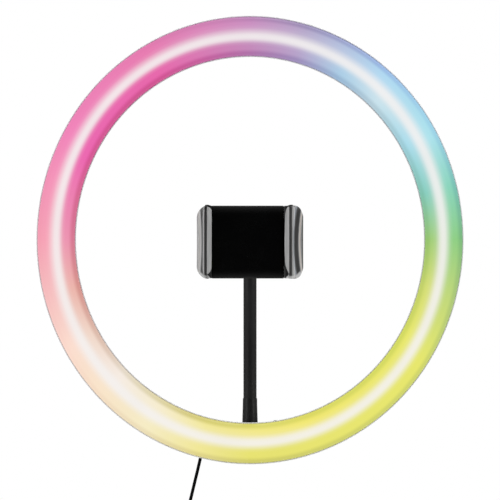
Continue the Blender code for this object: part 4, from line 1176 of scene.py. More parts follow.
def clamp_body():
    """A satin front panel over an open-backed box."""
    outline = rounded(-23.42, PANEL_RIGHT, clamp_z(-CLAMP_HALF), clamp_z(CLAMP_HALF), 0.9, 6)
    front, back = clamp_y(-19.3), clamp_y(-9.3)
    body = slab("clamp_front", outline, "Y", front, back, 0.75, PANEL, 5, high_edge=0.3)
    hollow = rounded(-21.7, 18.9, clamp_z(-19.3), clamp_z(19.3), 0.8, 3)
    window = rounded(17.0, 23.0, clamp_z(-13.9), clamp_z(13.9), 0.4, 2)
    carve(
        body,
        slab("hollow", hollow, "Y", clamp_y(-17.5), clamp_y(-8.0), 0.4),
        slab("window", window, "Y", clamp_y(-15.6), clamp_y(-12.8)),
    )
    posts = [clamp_rod(x, z, -18.4, -9.4, 2.4) for x, z in COVER_SCREWS]
    posts += [clamp_rod(BODY_PEG_X, z, -18.4, -9.9, 0.9, sides=20) for z in SPRING_Z]
    for z in (-4.2, 4.2):
        low, high = clamp_point(-21.9, -18.4, z - 0.8), clamp_point(17.6, -15.6, z + 0.8)
        posts.append(brick(low, high))
    fuse(body, *posts)
    place(body, "clamp", "black_abs", "clamp_body")


clamp_body()

# The two jaws.  x in them is the distance from the clamp's middle, outwards; sign turns it to
# the jaw's side.  zones is the gel's tone against x, with painted highlights and reflections as
# its light and dark bands.  Its bands beyond bow_start bow outwards, over bow_width, by bow at
# both ends.  strip is (x, z, corner radius).
LEFT_JAW = SimpleNamespace(
    name="fixed_jaw", hand="left", body="clamp", sign=-1,
    web_start=22.6, lip=23.45, tip=25.4, heel_lip=23.55,
    bow_start=28.7, bow_width=1.0, bow=1.0,
    pad_start=26.3, ridge=(27.9, 28.6), groove=(26.35, 27.75), waist=0.20,
    # painted highlights and reflections: the gel's light, warm and dark bands across the jaw
    zones=[
        (23.0, 0.38), (26.1, 0.36), (26.35, 0.045), (26.7, 0.028), (27.4, 0.045), (27.7, 0.14),
        (28.0, 0.38), (28.55, 0.40), (28.8, 0.09), (29.1, 0.09), (29.5, 0.34), (30.0, 0.54),
        (30.5, (0.50, 0.47, 0.45)), (31.0, 0.38), (32.0, 0.36), (33.0, 0.26),
    ],
    strip=[
        (26.25, 20.2, 0.2), (25.3, 20.4, 0.4), (23.7, 19.4, 0.6), (23.3, 18.2, 0.8),
        (23.25, 0.0, 2.0), (23.35, -15.0, 1.2), (24.1, -17.0, 0.6), (25.4, -18.5, 0.4),
        (26.25, -18.3, 0.2),
    ],
)
RIGHT_JAW = SimpleNamespace(
    name="moving_jaw", hand="right", body="jaw", sign=1,
    web_start=20.84, lip=21.2, tip=24.4, heel_lip=21.45,
    bow_start=24.8, bow_width=4.0, bow=2.1,
    pad_start=24.0, ridge=(25.5, 26.8), groove=(24.05, 25.4), waist=0.16,
    # painted highlights and reflections: the gel's light, warm and dark bands across the jaw
    zones=[
        (20.8, 0.44), (21.4, 0.44), (22.0, 0.34), (23.7, 0.40), (24.0, 0.05), (24.4, 0.045),
        (25.2, 0.06), (25.5, 0.24), (26.0, 0.33), (26.55, (0.27, 0.29, 0.32)), (26.95, 0.10),
        (27.4, 0.05), (28.9, 0.05), (29.3, 0.14), (29.7, 0.42), (30.2, (0.60, 0.54, 0.48)),
        (30.7, 0.34), (31.1, 0.10), (33.0, 0.06),
    ],
    strip=[
        (23.95, 20.3, 0.2), (23.1, 20.4, 0.4), (22.1, 19.3, 0.8), (21.45, 16.6, 1.5),
        (21.2, 11.0, 2.0), (21.05, 3.0, 2.0), (21.05, -5.0, 2.0), (21.3, -11.5, 2.0),
        (21.7, -14.0, 1.0), (22.8, -16.6, 0.8), (23.5, -18.3, 0.3), (23.95, -18.2, 0.2),
    ],
)
JAWS = (LEFT_JAW, RIGHT_JAW)
CORNER_X, CORNER_Z = 25.2, 13.9  # the middle of a pad's rounded corners


def gel_finish(jaw):
    """Smoky silicone, with painted highlights and reflections in bands along the jaw as seen from
    the front.
    """
    finish = Finish(f"smoky_silicone_{jaw.hand}", roughness=0.20, ior=1.41)
    calc = finish.calc
    x = calc("MULTIPLY", calc("SUBTRACT", finish.axis("X"), BALL.x * MM), jaw.sign / MM)
    z = calc("MULTIPLY", calc("SUBTRACT", finish.axis("Z"), BALL.z * MM), 1 / MM)
    height = calc("DIVIDE", z, CLAMP_HALF)
    lean = calc("MULTIPLY", calc("MULTIPLY", height, height), jaw.bow)
    bow_span = (jaw.bow_start, jaw.bow_start + jaw.bow_width)
    rise = finish.remap(x, span=bow_span, kind="SMOOTHSTEP")
    fall = finish.remap(x, span=(31.2, 32.9), to=(1.0, 0.0), kind="SMOOTHSTEP")
    lean = calc("MULTIPLY", lean, calc("MULTIPLY", rise, fall))
    # painted highlights and reflections: the gel's tone in light and dark bands across the jaw
    low, high = jaw.zones[0][0], jaw.zones[-1][0]
    bands = finish.ramp(
        finish.remap(calc("SUBTRACT", x, lean), span=(low, high)),
        [((distance - low) / (high - low), tone) for distance, tone in jaw.zones],
    )
    streaks = finish.noise(scale=90.0, detail=3.0, roughness=0.6, stretch=(9, 9, 0.6))
    streak = finish.remap(streaks, span=(0.35, 0.65), to=(0.86, 1.10))
    streak = finish.ramp(streak, [(0.0, 0.0), (1.0, 1.0)])
    bands = finish.mix(1.0, bands, streak, "MULTIPLY")
    # below the jaw's lower end nothing dark lies behind, and the gel is painted pale there, for the
    # light behind showing through
    beyond = calc("MAXIMUM", calc("SUBTRACT", x, CORNER_X), 0.0)
    below = calc("MAXIMUM", calc("SUBTRACT", calc("MULTIPLY", z, -1.0), CORNER_Z), 0.0)
    squares = calc("ADD", calc("MULTIPLY", beyond, beyond), calc("MULTIPLY", below, below))
    slope = 0.45  # the pale part's upper edge rises outwards
    above_edge = calc("SUBTRACT", below, calc("MULTIPLY", beyond, slope))
    under = finish.remap(above_edge, span=(0.0, 1.6))
    pale = calc("MULTIPLY", finish.remap(calc("SQRT", squares), span=(5.4, 6.3)), under)
    bands = finish.mix(pale, bands, (0.50, 0.50, 0.50))
    # the painted bands show only on faces turned to the front; the other faces are plain dark grey
    normal = finish.node("ShaderNodeNewGeometry").outputs["Normal"]
    forward = calc("MULTIPLY", finish.part(normal, "Y"), -1.0)
    facing = finish.remap(forward, span=(0.0, 0.35))
    finish.put("Base Color", finish.mix(facing, (0.10, 0.10, 0.102), bands))
    finish.put("Transmission Weight", 0.10)
    finish.put("Coat Weight", 0.35)
    finish.put("Coat Roughness", 0.12)
    finish.grain(scale=500.0, depth=0.00002, strength=0.35, roughness=0.6)
    return finish.material


def jaw_shell(jaw):
    """A web behind the panel's face, an arm forward and a lip inward over the phone."""
    section = [  # (x, y, corner radius)
        (jaw.web_start, -18.9, 0.3), (28.0, -18.9, 0.6), (28.0, -30.8, 0.5),
        (jaw.lip, -30.8, 0.45), (jaw.lip, -33.5, 0.5), (30.2, -33.5, 1.0), (31.0, -32.2, 0.8),
        (31.0, -15.4, 1.2), (29.6, -14.0, 0.8), (jaw.web_start, -14.0, 0.3),
    ]
    section = fillet([(jaw.sign * x, clamp_y(y)) for x, y, _ in section], [r for *_, r in section])
    low, high = clamp_z(-20.95), clamp_z(21.95)
    shell = slab(f"{jaw.name}_shell", section, "Z", low, high, 0.15, BLACK, 2)
    outline = [  # (x, z, corner radius)
        (10.0, 21.0, 0), (jaw.tip - 1.9, 21.0, 0.5), (jaw.tip, 21.6, 0.6),
        (jaw.tip + 1.7, 21.6, 0.6), (jaw.tip + 2.3, 20.5, 0.5), (31.2, 17.2, 2.0),
        (31.2, -17.0, 2.0), (29.6, -19.0, 0.8), (jaw.lip + 3.3, -18.0, 0.5),
        (jaw.lip + 0.4, -20.95, 0.3), (10.0, -20.95, 0),
    ]
    outline = fillet([(jaw.sign * x, clamp_z(z)) for x, z, _ in outline], [r for *_, r in outline])
    tool = slab("trim", outline, "Y", clamp_y(-40.0), clamp_y(-5.0))
    return carve(shell, tool, how="INTERSECT")


place(jaw_shell(LEFT_JAW), "clamp", "black_abs")

# The moving jaw has a slider inside the body, with pegs for the springs and slots beside them.
moving = jaw_shell(RIGHT_JAW)
fuse(
    moving,
    brick(clamp_point(-18.6, -15.3, -13.5), clamp_point(23.0, -13.2, 13.5), 0.3),
    brick(clamp_point(-18.9, -15.0, -13.2), clamp_point(-17.2, -11.6, 13.2), 0.3),
    *[clamp_rod(SLIDER_PEG_X, z, -14.6, -9.9, 0.9, sides=20) for z in SPRING_Z],
)
slots = []
for z in SPRING_Z:
    low, high = clamp_point(-21.0, -16.0, z - 2.1), clamp_point(-13.6, -9.0, z + 2.1)
    slots.append(brick(low, high))
carve(moving, *slots)
place(moving, "jaw", "black_abs", "moving_jaw")


def pad_section(jaw):
    """The pad's section, (x, y): from the inner front edge out over groove, ridge and bulge,
    round the arm and back inside it."""
    start, (groove_in, groove_out), (ridge_in, ridge_out) = jaw.pad_start, jaw.groove, jaw.ridge
    out = [(start, -33.55), (start, -34.2), (groove_in, -34.3), (groove_in + 0.15, -34.0)]
    out += [(groove_out - 0.2, -34.0), (groove_out, -34.35)]
    ridge = [(ridge_in, -34.5), (0.5 * (ridge_in + ridge_out), -35.05), (ridge_out, -34.5)]
    out += fillet(ridge, 0.3, 3, closed=False)
    out += [(ridge_out + 0.35, -34.25)]
    middle = 0.5 * (ridge_out + 0.5 + 32.5)
    bulge = arc(middle, -32.9, 32.5 - middle, 2.05, 248, 360, 14)
    out += [(x, y) for x, y in bulge if x > ridge_out + 0.5]
    out += [(32.5, -30.0), (32.5, -18.6), (32.3, -17.2), (31.9, -16.4), (31.3, -16.2)]
    return out + [(31.25, -31.9), (30.4, -33.55)]


def smooth_step(value, start, stop):
    share = min(max((value - start) / (stop - start), 0.0), 1.0)
    return share * share * (3 - 2 * share)


def gel_pad(jaw):
    """The section lofted down the jaw, rounded at its outer corners, waisted at mid-height,
    its bands bowing outwards at both ends, with fine cross ribs along its groove."""
    top, bottom, radius, layers = 21.1, -21.2, 7.3, 232
    section = pad_section(jaw)
    verts = []
    for k in range(layers + 1):
        z = bottom + (top - bottom) * k / layers
        to_end = min(z - bottom, top - z)
        cut_in = 0.0
        if to_end < radius:
            cut_in = radius - math.sqrt(max(radius**2 - (radius - to_end) ** 2, 0.0))
        waist = jaw.waist * max(0.0, 1 - (z / 20.0) ** 2)
        lean = jaw.bow * (z / CLAMP_HALF) ** 2
        roll = 0.7 * max(0.0, 1.0 - to_end / 0.8) ** 2  # the skin rolls over at both ends
        for x, y in section:
            share = min(max((x - CORNER_X) / radius, 0.0), 1.0)
            rise = smooth_step(x, jaw.bow_start, jaw.bow_start + jaw.bow_width)
            out = min(x + lean * rise * (1.0 - smooth_step(x, 30.6, 32.4)), 32.45)
            out -= (cut_in + waist) * share
            depth = y
            if y < -33.0:
                depth += roll
                if jaw.groove[0] < x < jaw.groove[1]:
                    depth += 0.11 * (0.5 + 0.5 * math.cos(2 * math.pi * z / 0.72))
            verts.append((jaw.sign * out, clamp_y(depth), clamp_z(z)))
    faces = tube_faces(layers + 1, len(section))
    return build(f"{jaw.name}_gel", verts, faces, jaw.gel, 50)


def gel_strip(jaw):
    """The flat strip along the lip's inner edge, its inner corners cut off aslant."""
    points = [(jaw.sign * x, clamp_z(z)) for x, z, _ in jaw.strip]
    outline = fillet(points, [radius for *_, radius in jaw.strip], 3)
    name = f"{jaw.name}_gel_strip"
    return slab(name, outline, "Y", clamp_y(-35.25), clamp_y(-33.45), 0.22, jaw.gel, 2)


def lower_corner(radius, drop, degrees):
    """(x, z) points along a pad's lower outer corner."""
    angles = [math.radians(a) for a in degrees]
    return [
        (CORNER_X + radius * math.cos(a), -CORNER_Z + radius * math.sin(a) - drop)
        for a in angles
    ]


def gel_heel(jaw):
    """The gel below the lip's lower end, which wraps round the corner."""
    lip = jaw.heel_lip
    outline = [(lip + 0.25, -21.05), (lip + 3.0, -18.05), (28.6, -17.4), (29.6, -17.4)]
    outline += [(29.6, -18.9)] + lower_corner(7.0, 0.2, range(-60, -91, -6))
    outline = [(jaw.sign * x, clamp_z(z)) for x, z in outline]
    name = f"{jaw.name}_gel_heel"
    return slab(name, outline, "Y", clamp_y(-33.9), clamp_y(-31.2), 0.12, jaw.gel, 2)


def gel_sole(jaw):
    """The gel along the arm's lower end, behind the heel."""
    outline = [(28.3, -20.0), (28.3, -18.7), (29.8, -18.9), (30.9, -17.4)]
    outline += lower_corner(6.85, 0.1, range(-30, -62, -5))
    outline = [(jaw.sign * x, clamp_z(z)) for x, z in outline]
    name = f"{jaw.name}_gel_sole"
    return slab(name, outline, "Y", clamp_y(-31.4), clamp_y(-17.4), 0.1, jaw.gel, 2)


def grip_skin(jaw):
    """The ribbed skin inside the slot, where the phone's edge presses."""
    outline = [(27.7, -30.3), (26.75, -30.3)]
    for k in range(13):
        y = -29.9 + 0.8 * k
        outline += [(26.75, y), (26.5, y + 0.2), (26.5, y + 0.4), (26.75, y + 0.6)]
    outline += [(26.75, -19.7), (27.7, -19.7)]
    outline = [(jaw.sign * x, clamp_y(y)) for x, y in outline]
    return slab(f"{jaw.name}_grip", outline, "Z", clamp_z(-19.6), clamp_z(19.6), 0.0, jaw.gel)


for jaw in JAWS:
    jaw.gel = gel_finish(jaw)
for jaw in JAWS:
    place(gel_pad(jaw), jaw.body, "smoky_silicone", f"{jaw.name}_pad")
for make in (gel_strip, gel_heel, gel_sole, grip_skin):
    for jaw in JAWS:
        place(make(jaw), jaw.body, "smoky_silicone")


def rear_cover():
    """Back cover with the ball's socket."""
    outline = rounded(-23.1, 20.3, clamp_z(-20.6), clamp_z(20.6), 2.4, 8)
    front, back = clamp_y(-9.0), clamp_y(-7.0)
    cover = slab("clamp_rear_cover", outline, "Y", front, back, 0.15, BLACK, high_edge=0.7)
    boss = [
        (0.0, -8.0), (11.6, -8.0), (11.3, -7.0), (11.05, -6.4), (11.0, 2.9), (10.8, 3.2),
        (0.0, 3.2),
    ]
    tools = [lathe("boss", boss, BALL, BEHIND, steps=72)]
    for x0, x1 in ((-21.0, -11.2), (11.2, 18.4)):
        tools.append(brick(clamp_point(x0, -8.0, -0.6), clamp_point(x1, -5.9, 0.6), 0.2))
    fuse(cover, *tools)
    tools = [clamp_rod(0, 0, -6.2, 5.0, 8.9, sides=64), clamp_rod(0, 0, -7.6, 0.0, 4.4)]
    tools += [clamp_rod(x, z, -10.0, -6.0, 1.5, sides=20) for x, z in COVER_SCREWS]
    carve(cover, *tools)
    place(cover, "clamp", "black_abs", "clamp_back_cover")


rear_cover()
set_screws(
    "clamp_cross_screw", "cover_screw", "clamp",
    [clamp_point(x, -5.4, z) for x, z in COVER_SCREWS],
    spin=0.2, spin_step=0.8,
    head_radius=2.1, head_height=1.3, shank_radius=0.95, length=9.6, drive=1.25,
)


def jaw_spring(number, z):
    """A coil between two hooks, on a peg of the body and a peg of the slider."""
    hook_radius, coil_radius, y = 1.25, 1.35, clamp_y(-11.9)
    turns, start, length = 5, -18.9, 4.9

    def hook(peg_x, first_turn, steps):
        angles = [math.pi * (first_turn + k / 16) for k in steps]
        return [
            (peg_x + hook_radius * math.cos(a), y, clamp_z(z) + hook_radius * math.sin(a))
            for a in angles
        ]

    wire = hook(BODY_PEG_X, 0.5, range(17))
    for k in range(turns * 20 + 1):
        a = 2 * math.pi * k / 20
        x = start + length * k / (turns * 20)
        wire.append((x, y + coil_radius * math.sin(a), clamp_z(z) - coil_radius * math.cos(a)))
    wire += hook(SLIDER_PEG_X, 1.5, range(1, 14))
    coil = sweep(f"jaw_spring_{number}", wire, 0.28, STEEL, 10)
    blend_start, blend_end = (Vector((x, y, clamp_z(z))) * MM for x in (-19.2, -13.8))
    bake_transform(coil)
    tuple(blend_start)
    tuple(blend_end)
    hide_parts(f"clamp_spring_{number}")


for number, z in enumerate(SPRING_Z):
    jaw_spring(number + 1, z)

# ---------------------------------------------------------------- cable
REMOTE = centre("remote_bottom")
REMOTE = Vector((REMOTE.x, REMOTE.y, FLOOR_Z))
REMOTE_YAW = math.radians(12.0)
CASE_SPLIT = 5.5  # height of the seam, where the cable enters
CABLE_RADIUS = 0.98
LIE = FLOOR_Z + 1.0  # the cable's middle where it lies on the floor
PLUG_YAW = math.radians(165.0)
PLUG_WAY = Vector((math.cos(PLUG_YAW), math.sin(PLUG_YAW), 0.0))
PLUG = centre("plug_mould") - PLUG_WAY * 10.5  # the plug's cable end


def in_remote(x, y, z):
    """A point of the remote's own frame."""
    c, s = math.cos(REMOTE_YAW), math.sin(REMOTE_YAW)
    return Vector((REMOTE.x + c * x - s * y, REMOTE.y + s * x + c * y, REMOTE.z + z))


def at_plug(back, rise):
    """A point behind the plug's cable end, above the lying cable."""
    return Vector((PLUG.x, PLUG.y, LIE)) - PLUG_WAY * back + Vector((0.0, 0.0, rise))


FROM_HOLE = [
    (0.0, -5.4, 0.0), (0.0, 4.0, 0.0), (0.0, 10.0, 0.0), (-0.7, 13.8, -2.4),
    (-1.9, 15.2, -7.0), (-3.0, 15.2, -11.6),
]
DROP = [  # x and y from the point where the cable turns down, z of the model
    (-4.7, 0.0, -7.5), (-6.6, 0.3, -15.0), (-8.9, 1.2, -24.0), (-12.0, 3.2, -35.0),
    (-17.5, 8.0, LIE + 3.2), (-26.5, 17.0, LIE), (-36.0, 38.0, LIE), (-32.0, 62.0, LIE),
    (-15.0, 70.0, LIE + 1.6),
]
INTO_REMOTE = [(-50.0, -1.0, 5.2), (-42.0, 0.0, CASE_SPLIT), (-34.0, 0.0, CASE_SPLIT)]
OUT_OF_REMOTE = [
    (34.0, 0.0, CASE_SPLIT), (42.0, 0.0, CASE_SPLIT), (50.0, 1.0, 4.6), (62.0, 8.0, 1.0),
    (66.0, 26.0, 1.0), (50.0, 40.0, 1.0), (20.0, 42.0, 1.0),
]

drop = CABLE_HOLE + Vector((0.0, 15.2, 0.0))
line = flow(
    [CABLE_HOLE + Vector(offset) for offset in FROM_HOLE]
    + [(drop.x + x, drop.y + y, z) for x, y, z in DROP]
    + [in_remote(*point) for point in INTO_REMOTE]
)
bend_start = next(k for k, p in enumerate(line) if p.y > CABLE_HOLE.y + 12 and p.z < 3.0)
bend_end = next(k for k, p in enumerate(line) if p.z < -14.0)
upper = sweep("cable_at_ring", line[: bend_start + 1], CABLE_RADIUS, CABLE)
place(upper, "head", "cable_pvc", "cable_upper")
bend = sweep("cable_bend", line[bend_start : bend_end + 1], CABLE_RADIUS, CABLE)
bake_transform(bend)
lower = sweep("cable_to_remote", line[bend_end:], CABLE_RADIUS, CABLE)
place(lower, "root", "cable_pvc", "cable_lower")
tail = [in_remote(*point) for point in OUT_OF_REMOTE]
tail += [at_plug(22.0, 1.5), at_plug(10.0, 3.0), at_plug(-3.0, 3.0)]
tail = sweep("cable_to_plug", flow(tail), CABLE_RADIUS, CABLE)
place(tail, "root", "cable_pvc", "cable_tail")

# ---------------------------------------------------------------- remote, in its own frame
CASE_X, CASE_Y, CASE_TOP = 38.0, 10.5, 11.0  # half length, half width, height
CASE_WALL = 1.8
CASE_CORNER = 8.0
CASE_SCREWS = ((-31.0, -5.6), (31.0, 5.6))
KEY_X = {"power": -22.0, "colour": -9.5, "dim": 3.0, "bright": 15.5}
KEY_HOLE = 3.85


def remote_part(obj, slot, node=None, body="root"):
    place(turn_in(obj, REMOTE, REMOTE_YAW), body, slot, node)


def case_half(name, low, high, low_edge, high_edge, hollow_low, hollow_high):
    outline = rounded(-CASE_X, CASE_X, -CASE_Y, CASE_Y, CASE_CORNER, 14)
    x, y = CASE_X - CASE_WALL, CASE_Y - CASE_WALL
    hollow = rounded(-x, x, -y, y, CASE_CORNER - CASE_WALL, 8)
    return carve(
        slab(name, outline, "Z", low, high, low_edge, BLACK, 4, high_edge=high_edge),
        slab("hollow", hollow, "Z", hollow_low, hollow_high),
        *[rod((s * 45.0, 0, CASE_SPLIT), (s * 33.0, 0, CASE_SPLIT), 1.2, sides=24) for s in (-1, 1)],
    )


top = case_half(
    "remote_upper_case", low=CASE_SPLIT + 0.15, high=CASE_TOP, low_edge=0.15, high_edge=1.5,
    hollow_low=4.0, hollow_high=CASE_TOP - 1.6,
)
tools = []
for x in KEY_X.values():
    tools.append(rod((x, 0, 7.0), (x, 0, 13.0), KEY_HOLE, sides=40))
    tools.append(rod((x, 0, CASE_TOP - 0.35), (x, 0, CASE_TOP + 0.4), KEY_HOLE, 4.6, sides=40))
carve(top, *tools)
remote_part(top, "black_abs", "remote_top")
bottom = case_half(
    "remote_lower_case", low=0.0, high=CASE_SPLIT - 0.15, low_edge=1.2, high_edge=0.15,
    hollow_low=1.6, hollow_high=7.0,
)
fuse(bottom, *[rod((x, y, 0.8), (x, y, 5.2), 2.3) for x, y in CASE_SCREWS])
carve(bottom, *[rod((x, y, -1.0), (x, y, 6.0), 1.15, sides=20) for x, y in CASE_SCREWS])
remote_part(bottom, "black_abs", "remote_bottom")

# Strain reliefs at both ends of the remote.
for name, sign in (("remote_relief_in", -1), ("remote_relief_out", 1)):
    rings = []
    for k in range(4):
        height = 38.4 + 1.15 * k
        radius = 1.95 - 0.14 * k
        rings += [(radius - 0.3, height), (radius, height + 0.2)]
        rings += [(radius, height + 0.6), (radius - 0.3, height + 0.8)]
    profile = [(1.95, 36.5), (1.95, 38.1)] + rings + [(0.95, 43.2), (0.95, 36.5)]
    relief = lathe(name, profile, (0, 0, CASE_SPLIT), (sign, 0, 0), CABLE, 36)
    remote_part(relief, "cable_pvc")

KEY_PROFILE = [
    (0.0, 11.82), (1.6, 11.84), (2.4, 11.92), (2.9, 12.0), (3.25, 11.85), (3.5, 11.45),
    (3.55, 11.0), (3.55, 8.6), (4.5, 8.4), (4.5, 7.6), (1.4, 7.4), (1.4, 6.5), (0.0, 6.5),
]


def key_symbol(name, x):
    """A raised symbol on a key: broken ring and bar, three dots, minus or plus."""
    low, high = 11.7, 12.02
    others = []
    if name == "power":
        angles = [math.radians(a) for a in range(125, 416, 10)]
        ring = [(x + 1.5 * math.cos(a), 1.5 * math.sin(a)) for a in angles]
        ring += [(x + 1.08 * math.cos(a), 1.08 * math.sin(a)) for a in angles[::-1]]
        symbol = slab("symbol", ring, "Z", low, high)
        others.append(brick((x - 0.2, 0.35, low), (x + 0.2, 1.85, high)))
    elif name == "colour":
        for a in (math.pi / 2, math.pi / 2 + 2.0944, math.pi / 2 + 4.1888):
            dot_x, dot_y = x + 0.95 * math.cos(a), 0.95 * math.sin(a)
            others.append(rod((dot_x, dot_y, low), (dot_x, dot_y, high), 0.48, sides=20))
        symbol = others.pop(0)
    else:
        symbol = brick((x - 1.5, -0.22, low), (x + 1.5, 0.22, high))
        if name == "bright":
            others.append(brick((x - 0.22, -1.5, low), (x + 0.22, 1.5, high)))
    symbol.name = f"{name}_symbol"
    if name == "colour":  # the dots don't touch, so their meshes are simply put together
        for other in others:
            bm = bmesh.new()
            bm.from_mesh(symbol.data)
            bm.from_mesh(other.data)
            bm.to_mesh(symbol.data)
            bm.free()
            bpy.data.objects.remove(other, do_unlink=True)
    elif others:
        fuse(symbol, *others, weighted=False)
    return dress(symbol, GLYPH, 30)


for name, x in KEY_X.items():
    key = lathe(f"{name}_key_cap", KEY_PROFILE, (x, 0.0, 0.0), UP, KEYS, 56)
    remote_part(key, "grey_keys", f"button_{name}", body=f"{name}_key")
    remote_part(key_symbol(name, x), "grey_keys", body=f"{name}_key")

for k, (x, y) in enumerate(CASE_SCREWS):
    screw = cross_screw(
        f"remote_cross_screw_{k + 1}", head_radius=1.9, head_height=0.7, shank_radius=0.85,
        length=7.8, drive=1.1,
    )
    flip = Matrix.Rotation(math.pi, 4, "X")
    screw.data.transform(Matrix.Translation(Vector((x, y, -0.9)) * MM) @ flip)
    remote_part(screw, "zinc_steel", f"remote_screw_{k + 1}")


# ---------------------------------------------------------------- plug, along its own +X
def plug_part(obj, slot, node=None):
    place(turn_in(obj, PLUG, PLUG_YAW), "root", slot, node)


def plug_mould():
    """The overmould, with finger grooves on all four sides."""
    outline = [  # (x, y, corner radius)
        (0.0, -4.4, 2.2), (5.0, -7.8, 4.0), (21.0, -7.8, 2.4),
        (21.0, 7.8, 2.4), (5.0, 7.8, 4.0), (0.0, 4.4, 2.2),
    ]
    outline = fillet([(x, y) for x, y, _ in outline], [r for *_, r in outline], 8)
    mould = slab("plug_overmould", outline, "Z", -4.0, 4.0, 0.9, CABLE, 4)
    tools = [rod((-2.0, 0, 0), (4.0, 0, 0), 1.3, sides=24)]
    tools.append(brick((17.0, -6.4, -2.65), (25.0, 6.4, 2.65)))
    for k in range(5):
        x = 7.0 + 1.7 * k
        for s in (-1, 1):
            tools.append(rod((x, -5.2, s * 4.15), (x, 5.2, s * 4.15), 0.42, sides=16))
            tools.append(rod((x, s * 8.0, -2.4), (x, s * 8.0, 2.4), 0.42, sides=16))
    plug_part(carve(mould, *tools), "cable_pvc", "plug_mould")


def plug_shell():
    """The folded shell, with windows above and below and a seam underneath."""
    outline = rounded(-6.0, 6.0, -2.25, 2.25, 0.55, 4)
    shell = slab("plug_metal_shell", outline, "X", 17.4, 33.4, 0.12, STEEL, 2)
    tools = [slab("hollow", rounded(-5.7, 5.7, -1.95, 1.95, 0.3, 3), "X", 18.0, 36.0)]
    for y in (-2.9, 2.9):
        for low, high in ((-3.0, -1.6), (1.6, 3.0)):
            tools.append(brick((25.6, y - 1.15, low), (27.9, y + 1.15, high)))
    tools.append(brick((17.0, -0.06, -3.0), (34.0, 0.06, -2.1)))
    plug_part(carve(shell, *tools, smooth=30), "zinc_steel", "plug_shell")


plug_mould()
plug_shell()
outline = rounded(-5.2, 5.2, -1.6, 0.1, 0.2, 3)
tongue = slab("plug_contact_tongue", outline, "X", 18.3, 32.6, 0.2, NYLON, 2)
plug_part(tongue, "natural_nylon", "plug_tongue")
for k, (start, y) in enumerate(((23.0, -3.5), (24.0, -1.0), (24.0, 1.0), (23.0, 3.5))):
    outline = rounded(start, 32.0, y - 0.5, y + 0.5, 0.2, 3)
    plug_part(slab(f"plug_contact_{k + 1}", outline, "Z", 0.02, 0.2, 0.05, GOLD, 2), "brass")

# ---------------------------------------------------------------- washers and the knob's nut
for name, node, body, slot, material, x0, x1, radius in (
    ("tilt_washer", "knob_washer", "head", "zinc_steel", STEEL, 9.8, 10.8, 5.6),
    ("friction_disc_left", "friction_washer_left", "root", "natural_nylon", NYLON, -4.1, -3.3, 5.3),
    ("friction_disc_right", "friction_washer_right", "root", "natural_nylon", NYLON, 3.3, 4.1, 5.3),
):
    section = [(BORE, x0), (radius, x0), (radius, x1), (BORE, x1)]
    section = fillet(section, [0.08, 0.2, 0.2, 0.08], 3)
    place(lathe(name, section, TILT_ORIGIN, RIGHT, material, 72), body, slot, node)
NUT_PROFILE = [(2.6, 11.4), (3.9, 11.4), (4.35, 11.6), (4.35, 14.4), (3.9, 14.6), (2.6, 14.6)]
nut = lathe(
    "knob_hex_nut", NUT_PROFILE, TILT_ORIGIN, RIGHT, BRASS, 96, ripple=hexagon(3.76), smooth=25
)
place(nut, "tilt_knob", "brass", "knob_nut")

# ---------------------------------------------------------------- CAD pieces that keep their shape
for node, material in (
    ("led_board", BOARD),
    ("neck_insert", BRASS),
    ("remote_board", GREEN_BOARD),
):
    obj = frame["nodes"][node]
    for face in obj.data.polygons:
        face.material_index = 0
    dress(obj, material, smooth=35)


# ---------------------------------------------------------------- floor; metres from here on
def paper_finish():
    """White paper that fades into pure white away from the middle."""
    paper = Finish("studio_paper", roughness=0.9, specular=0.1)
    paper.put("Base Color", (0.93, 0.93, 0.93))
    distance = paper.node("ShaderNodeVectorMath", operation="LENGTH")
    paper.feed(distance.inputs[0], paper.place)
    fade = paper.remap(distance.outputs["Value"], span=(0.12, 0.55), kind="SMOOTHSTEP")
    glow = paper.node("ShaderNodeEmission")
    glow.inputs["Strength"].default_value = 1.0
    blend = paper.node("ShaderNodeMixShader")
    for socket, value in enumerate((fade, paper.shader.outputs[0], glow.outputs[0])):
        paper.feed(blend.inputs[socket], value)
    output = next(n for n in paper.tree.nodes if n.type == "OUTPUT_MATERIAL")
    paper.feed(output.inputs["Surface"], blend.outputs[0])
    return paper.material


FLOOR_RADIUS, FLOOR_SIDES = 1.4, 96
angles = [2 * math.pi * k / FLOOR_SIDES for k in range(FLOOR_SIDES)]
mesh = bpy.data.meshes.new("floor")
mesh.from_pydata(
    [(FLOOR_RADIUS * math.cos(a), FLOOR_RADIUS * math.sin(a), 0.0) for a in angles],
    [],
    [tuple(range(FLOOR_SIDES))],
)
floor = bpy.data.objects.new("floor", mesh)
bpy.context.scene.collection.objects.link(floor)
floor.location = (0.0, 0.03, FLOOR_Z * MM - 0.0002)
floor.data.materials.append(paper_finish())

# ---------------------------------------------------------------- world
scene = bpy.context.scene
world = bpy.data.worlds.new("studio")
scene.world = world
world.use_nodes = True
world.node_tree.nodes.clear()
studio = Nodes(world.node_tree)
direction = studio.node("ShaderNodeTexCoord").outputs["Generated"]
# Dark towards the camera, bright at the sides, softer behind: (share of -Y to +Y, level).
AROUND = [(0.05, 0.035), (0.47, 0.78), (0.62, 0.62), (1.0, 0.40)]
backward = studio.remap(studio.part(direction, "Y"), span=(-1.0, 1.0))
level = studio.node("ShaderNodeMath", operation="MULTIPLY")
studio.feed(level.inputs[0], studio.ramp(backward, AROUND, "EASE"))
upward = studio.remap(
    studio.part(direction, "Z"), span=(-0.2, 1.0), to=(0.85, 1.15), kind="SMOOTHSTEP"
)
studio.feed(level.inputs[1], upward)
ambient = studio.node("ShaderNodeBackground")
studio.feed(ambient.inputs["Strength"], level.outputs[0])
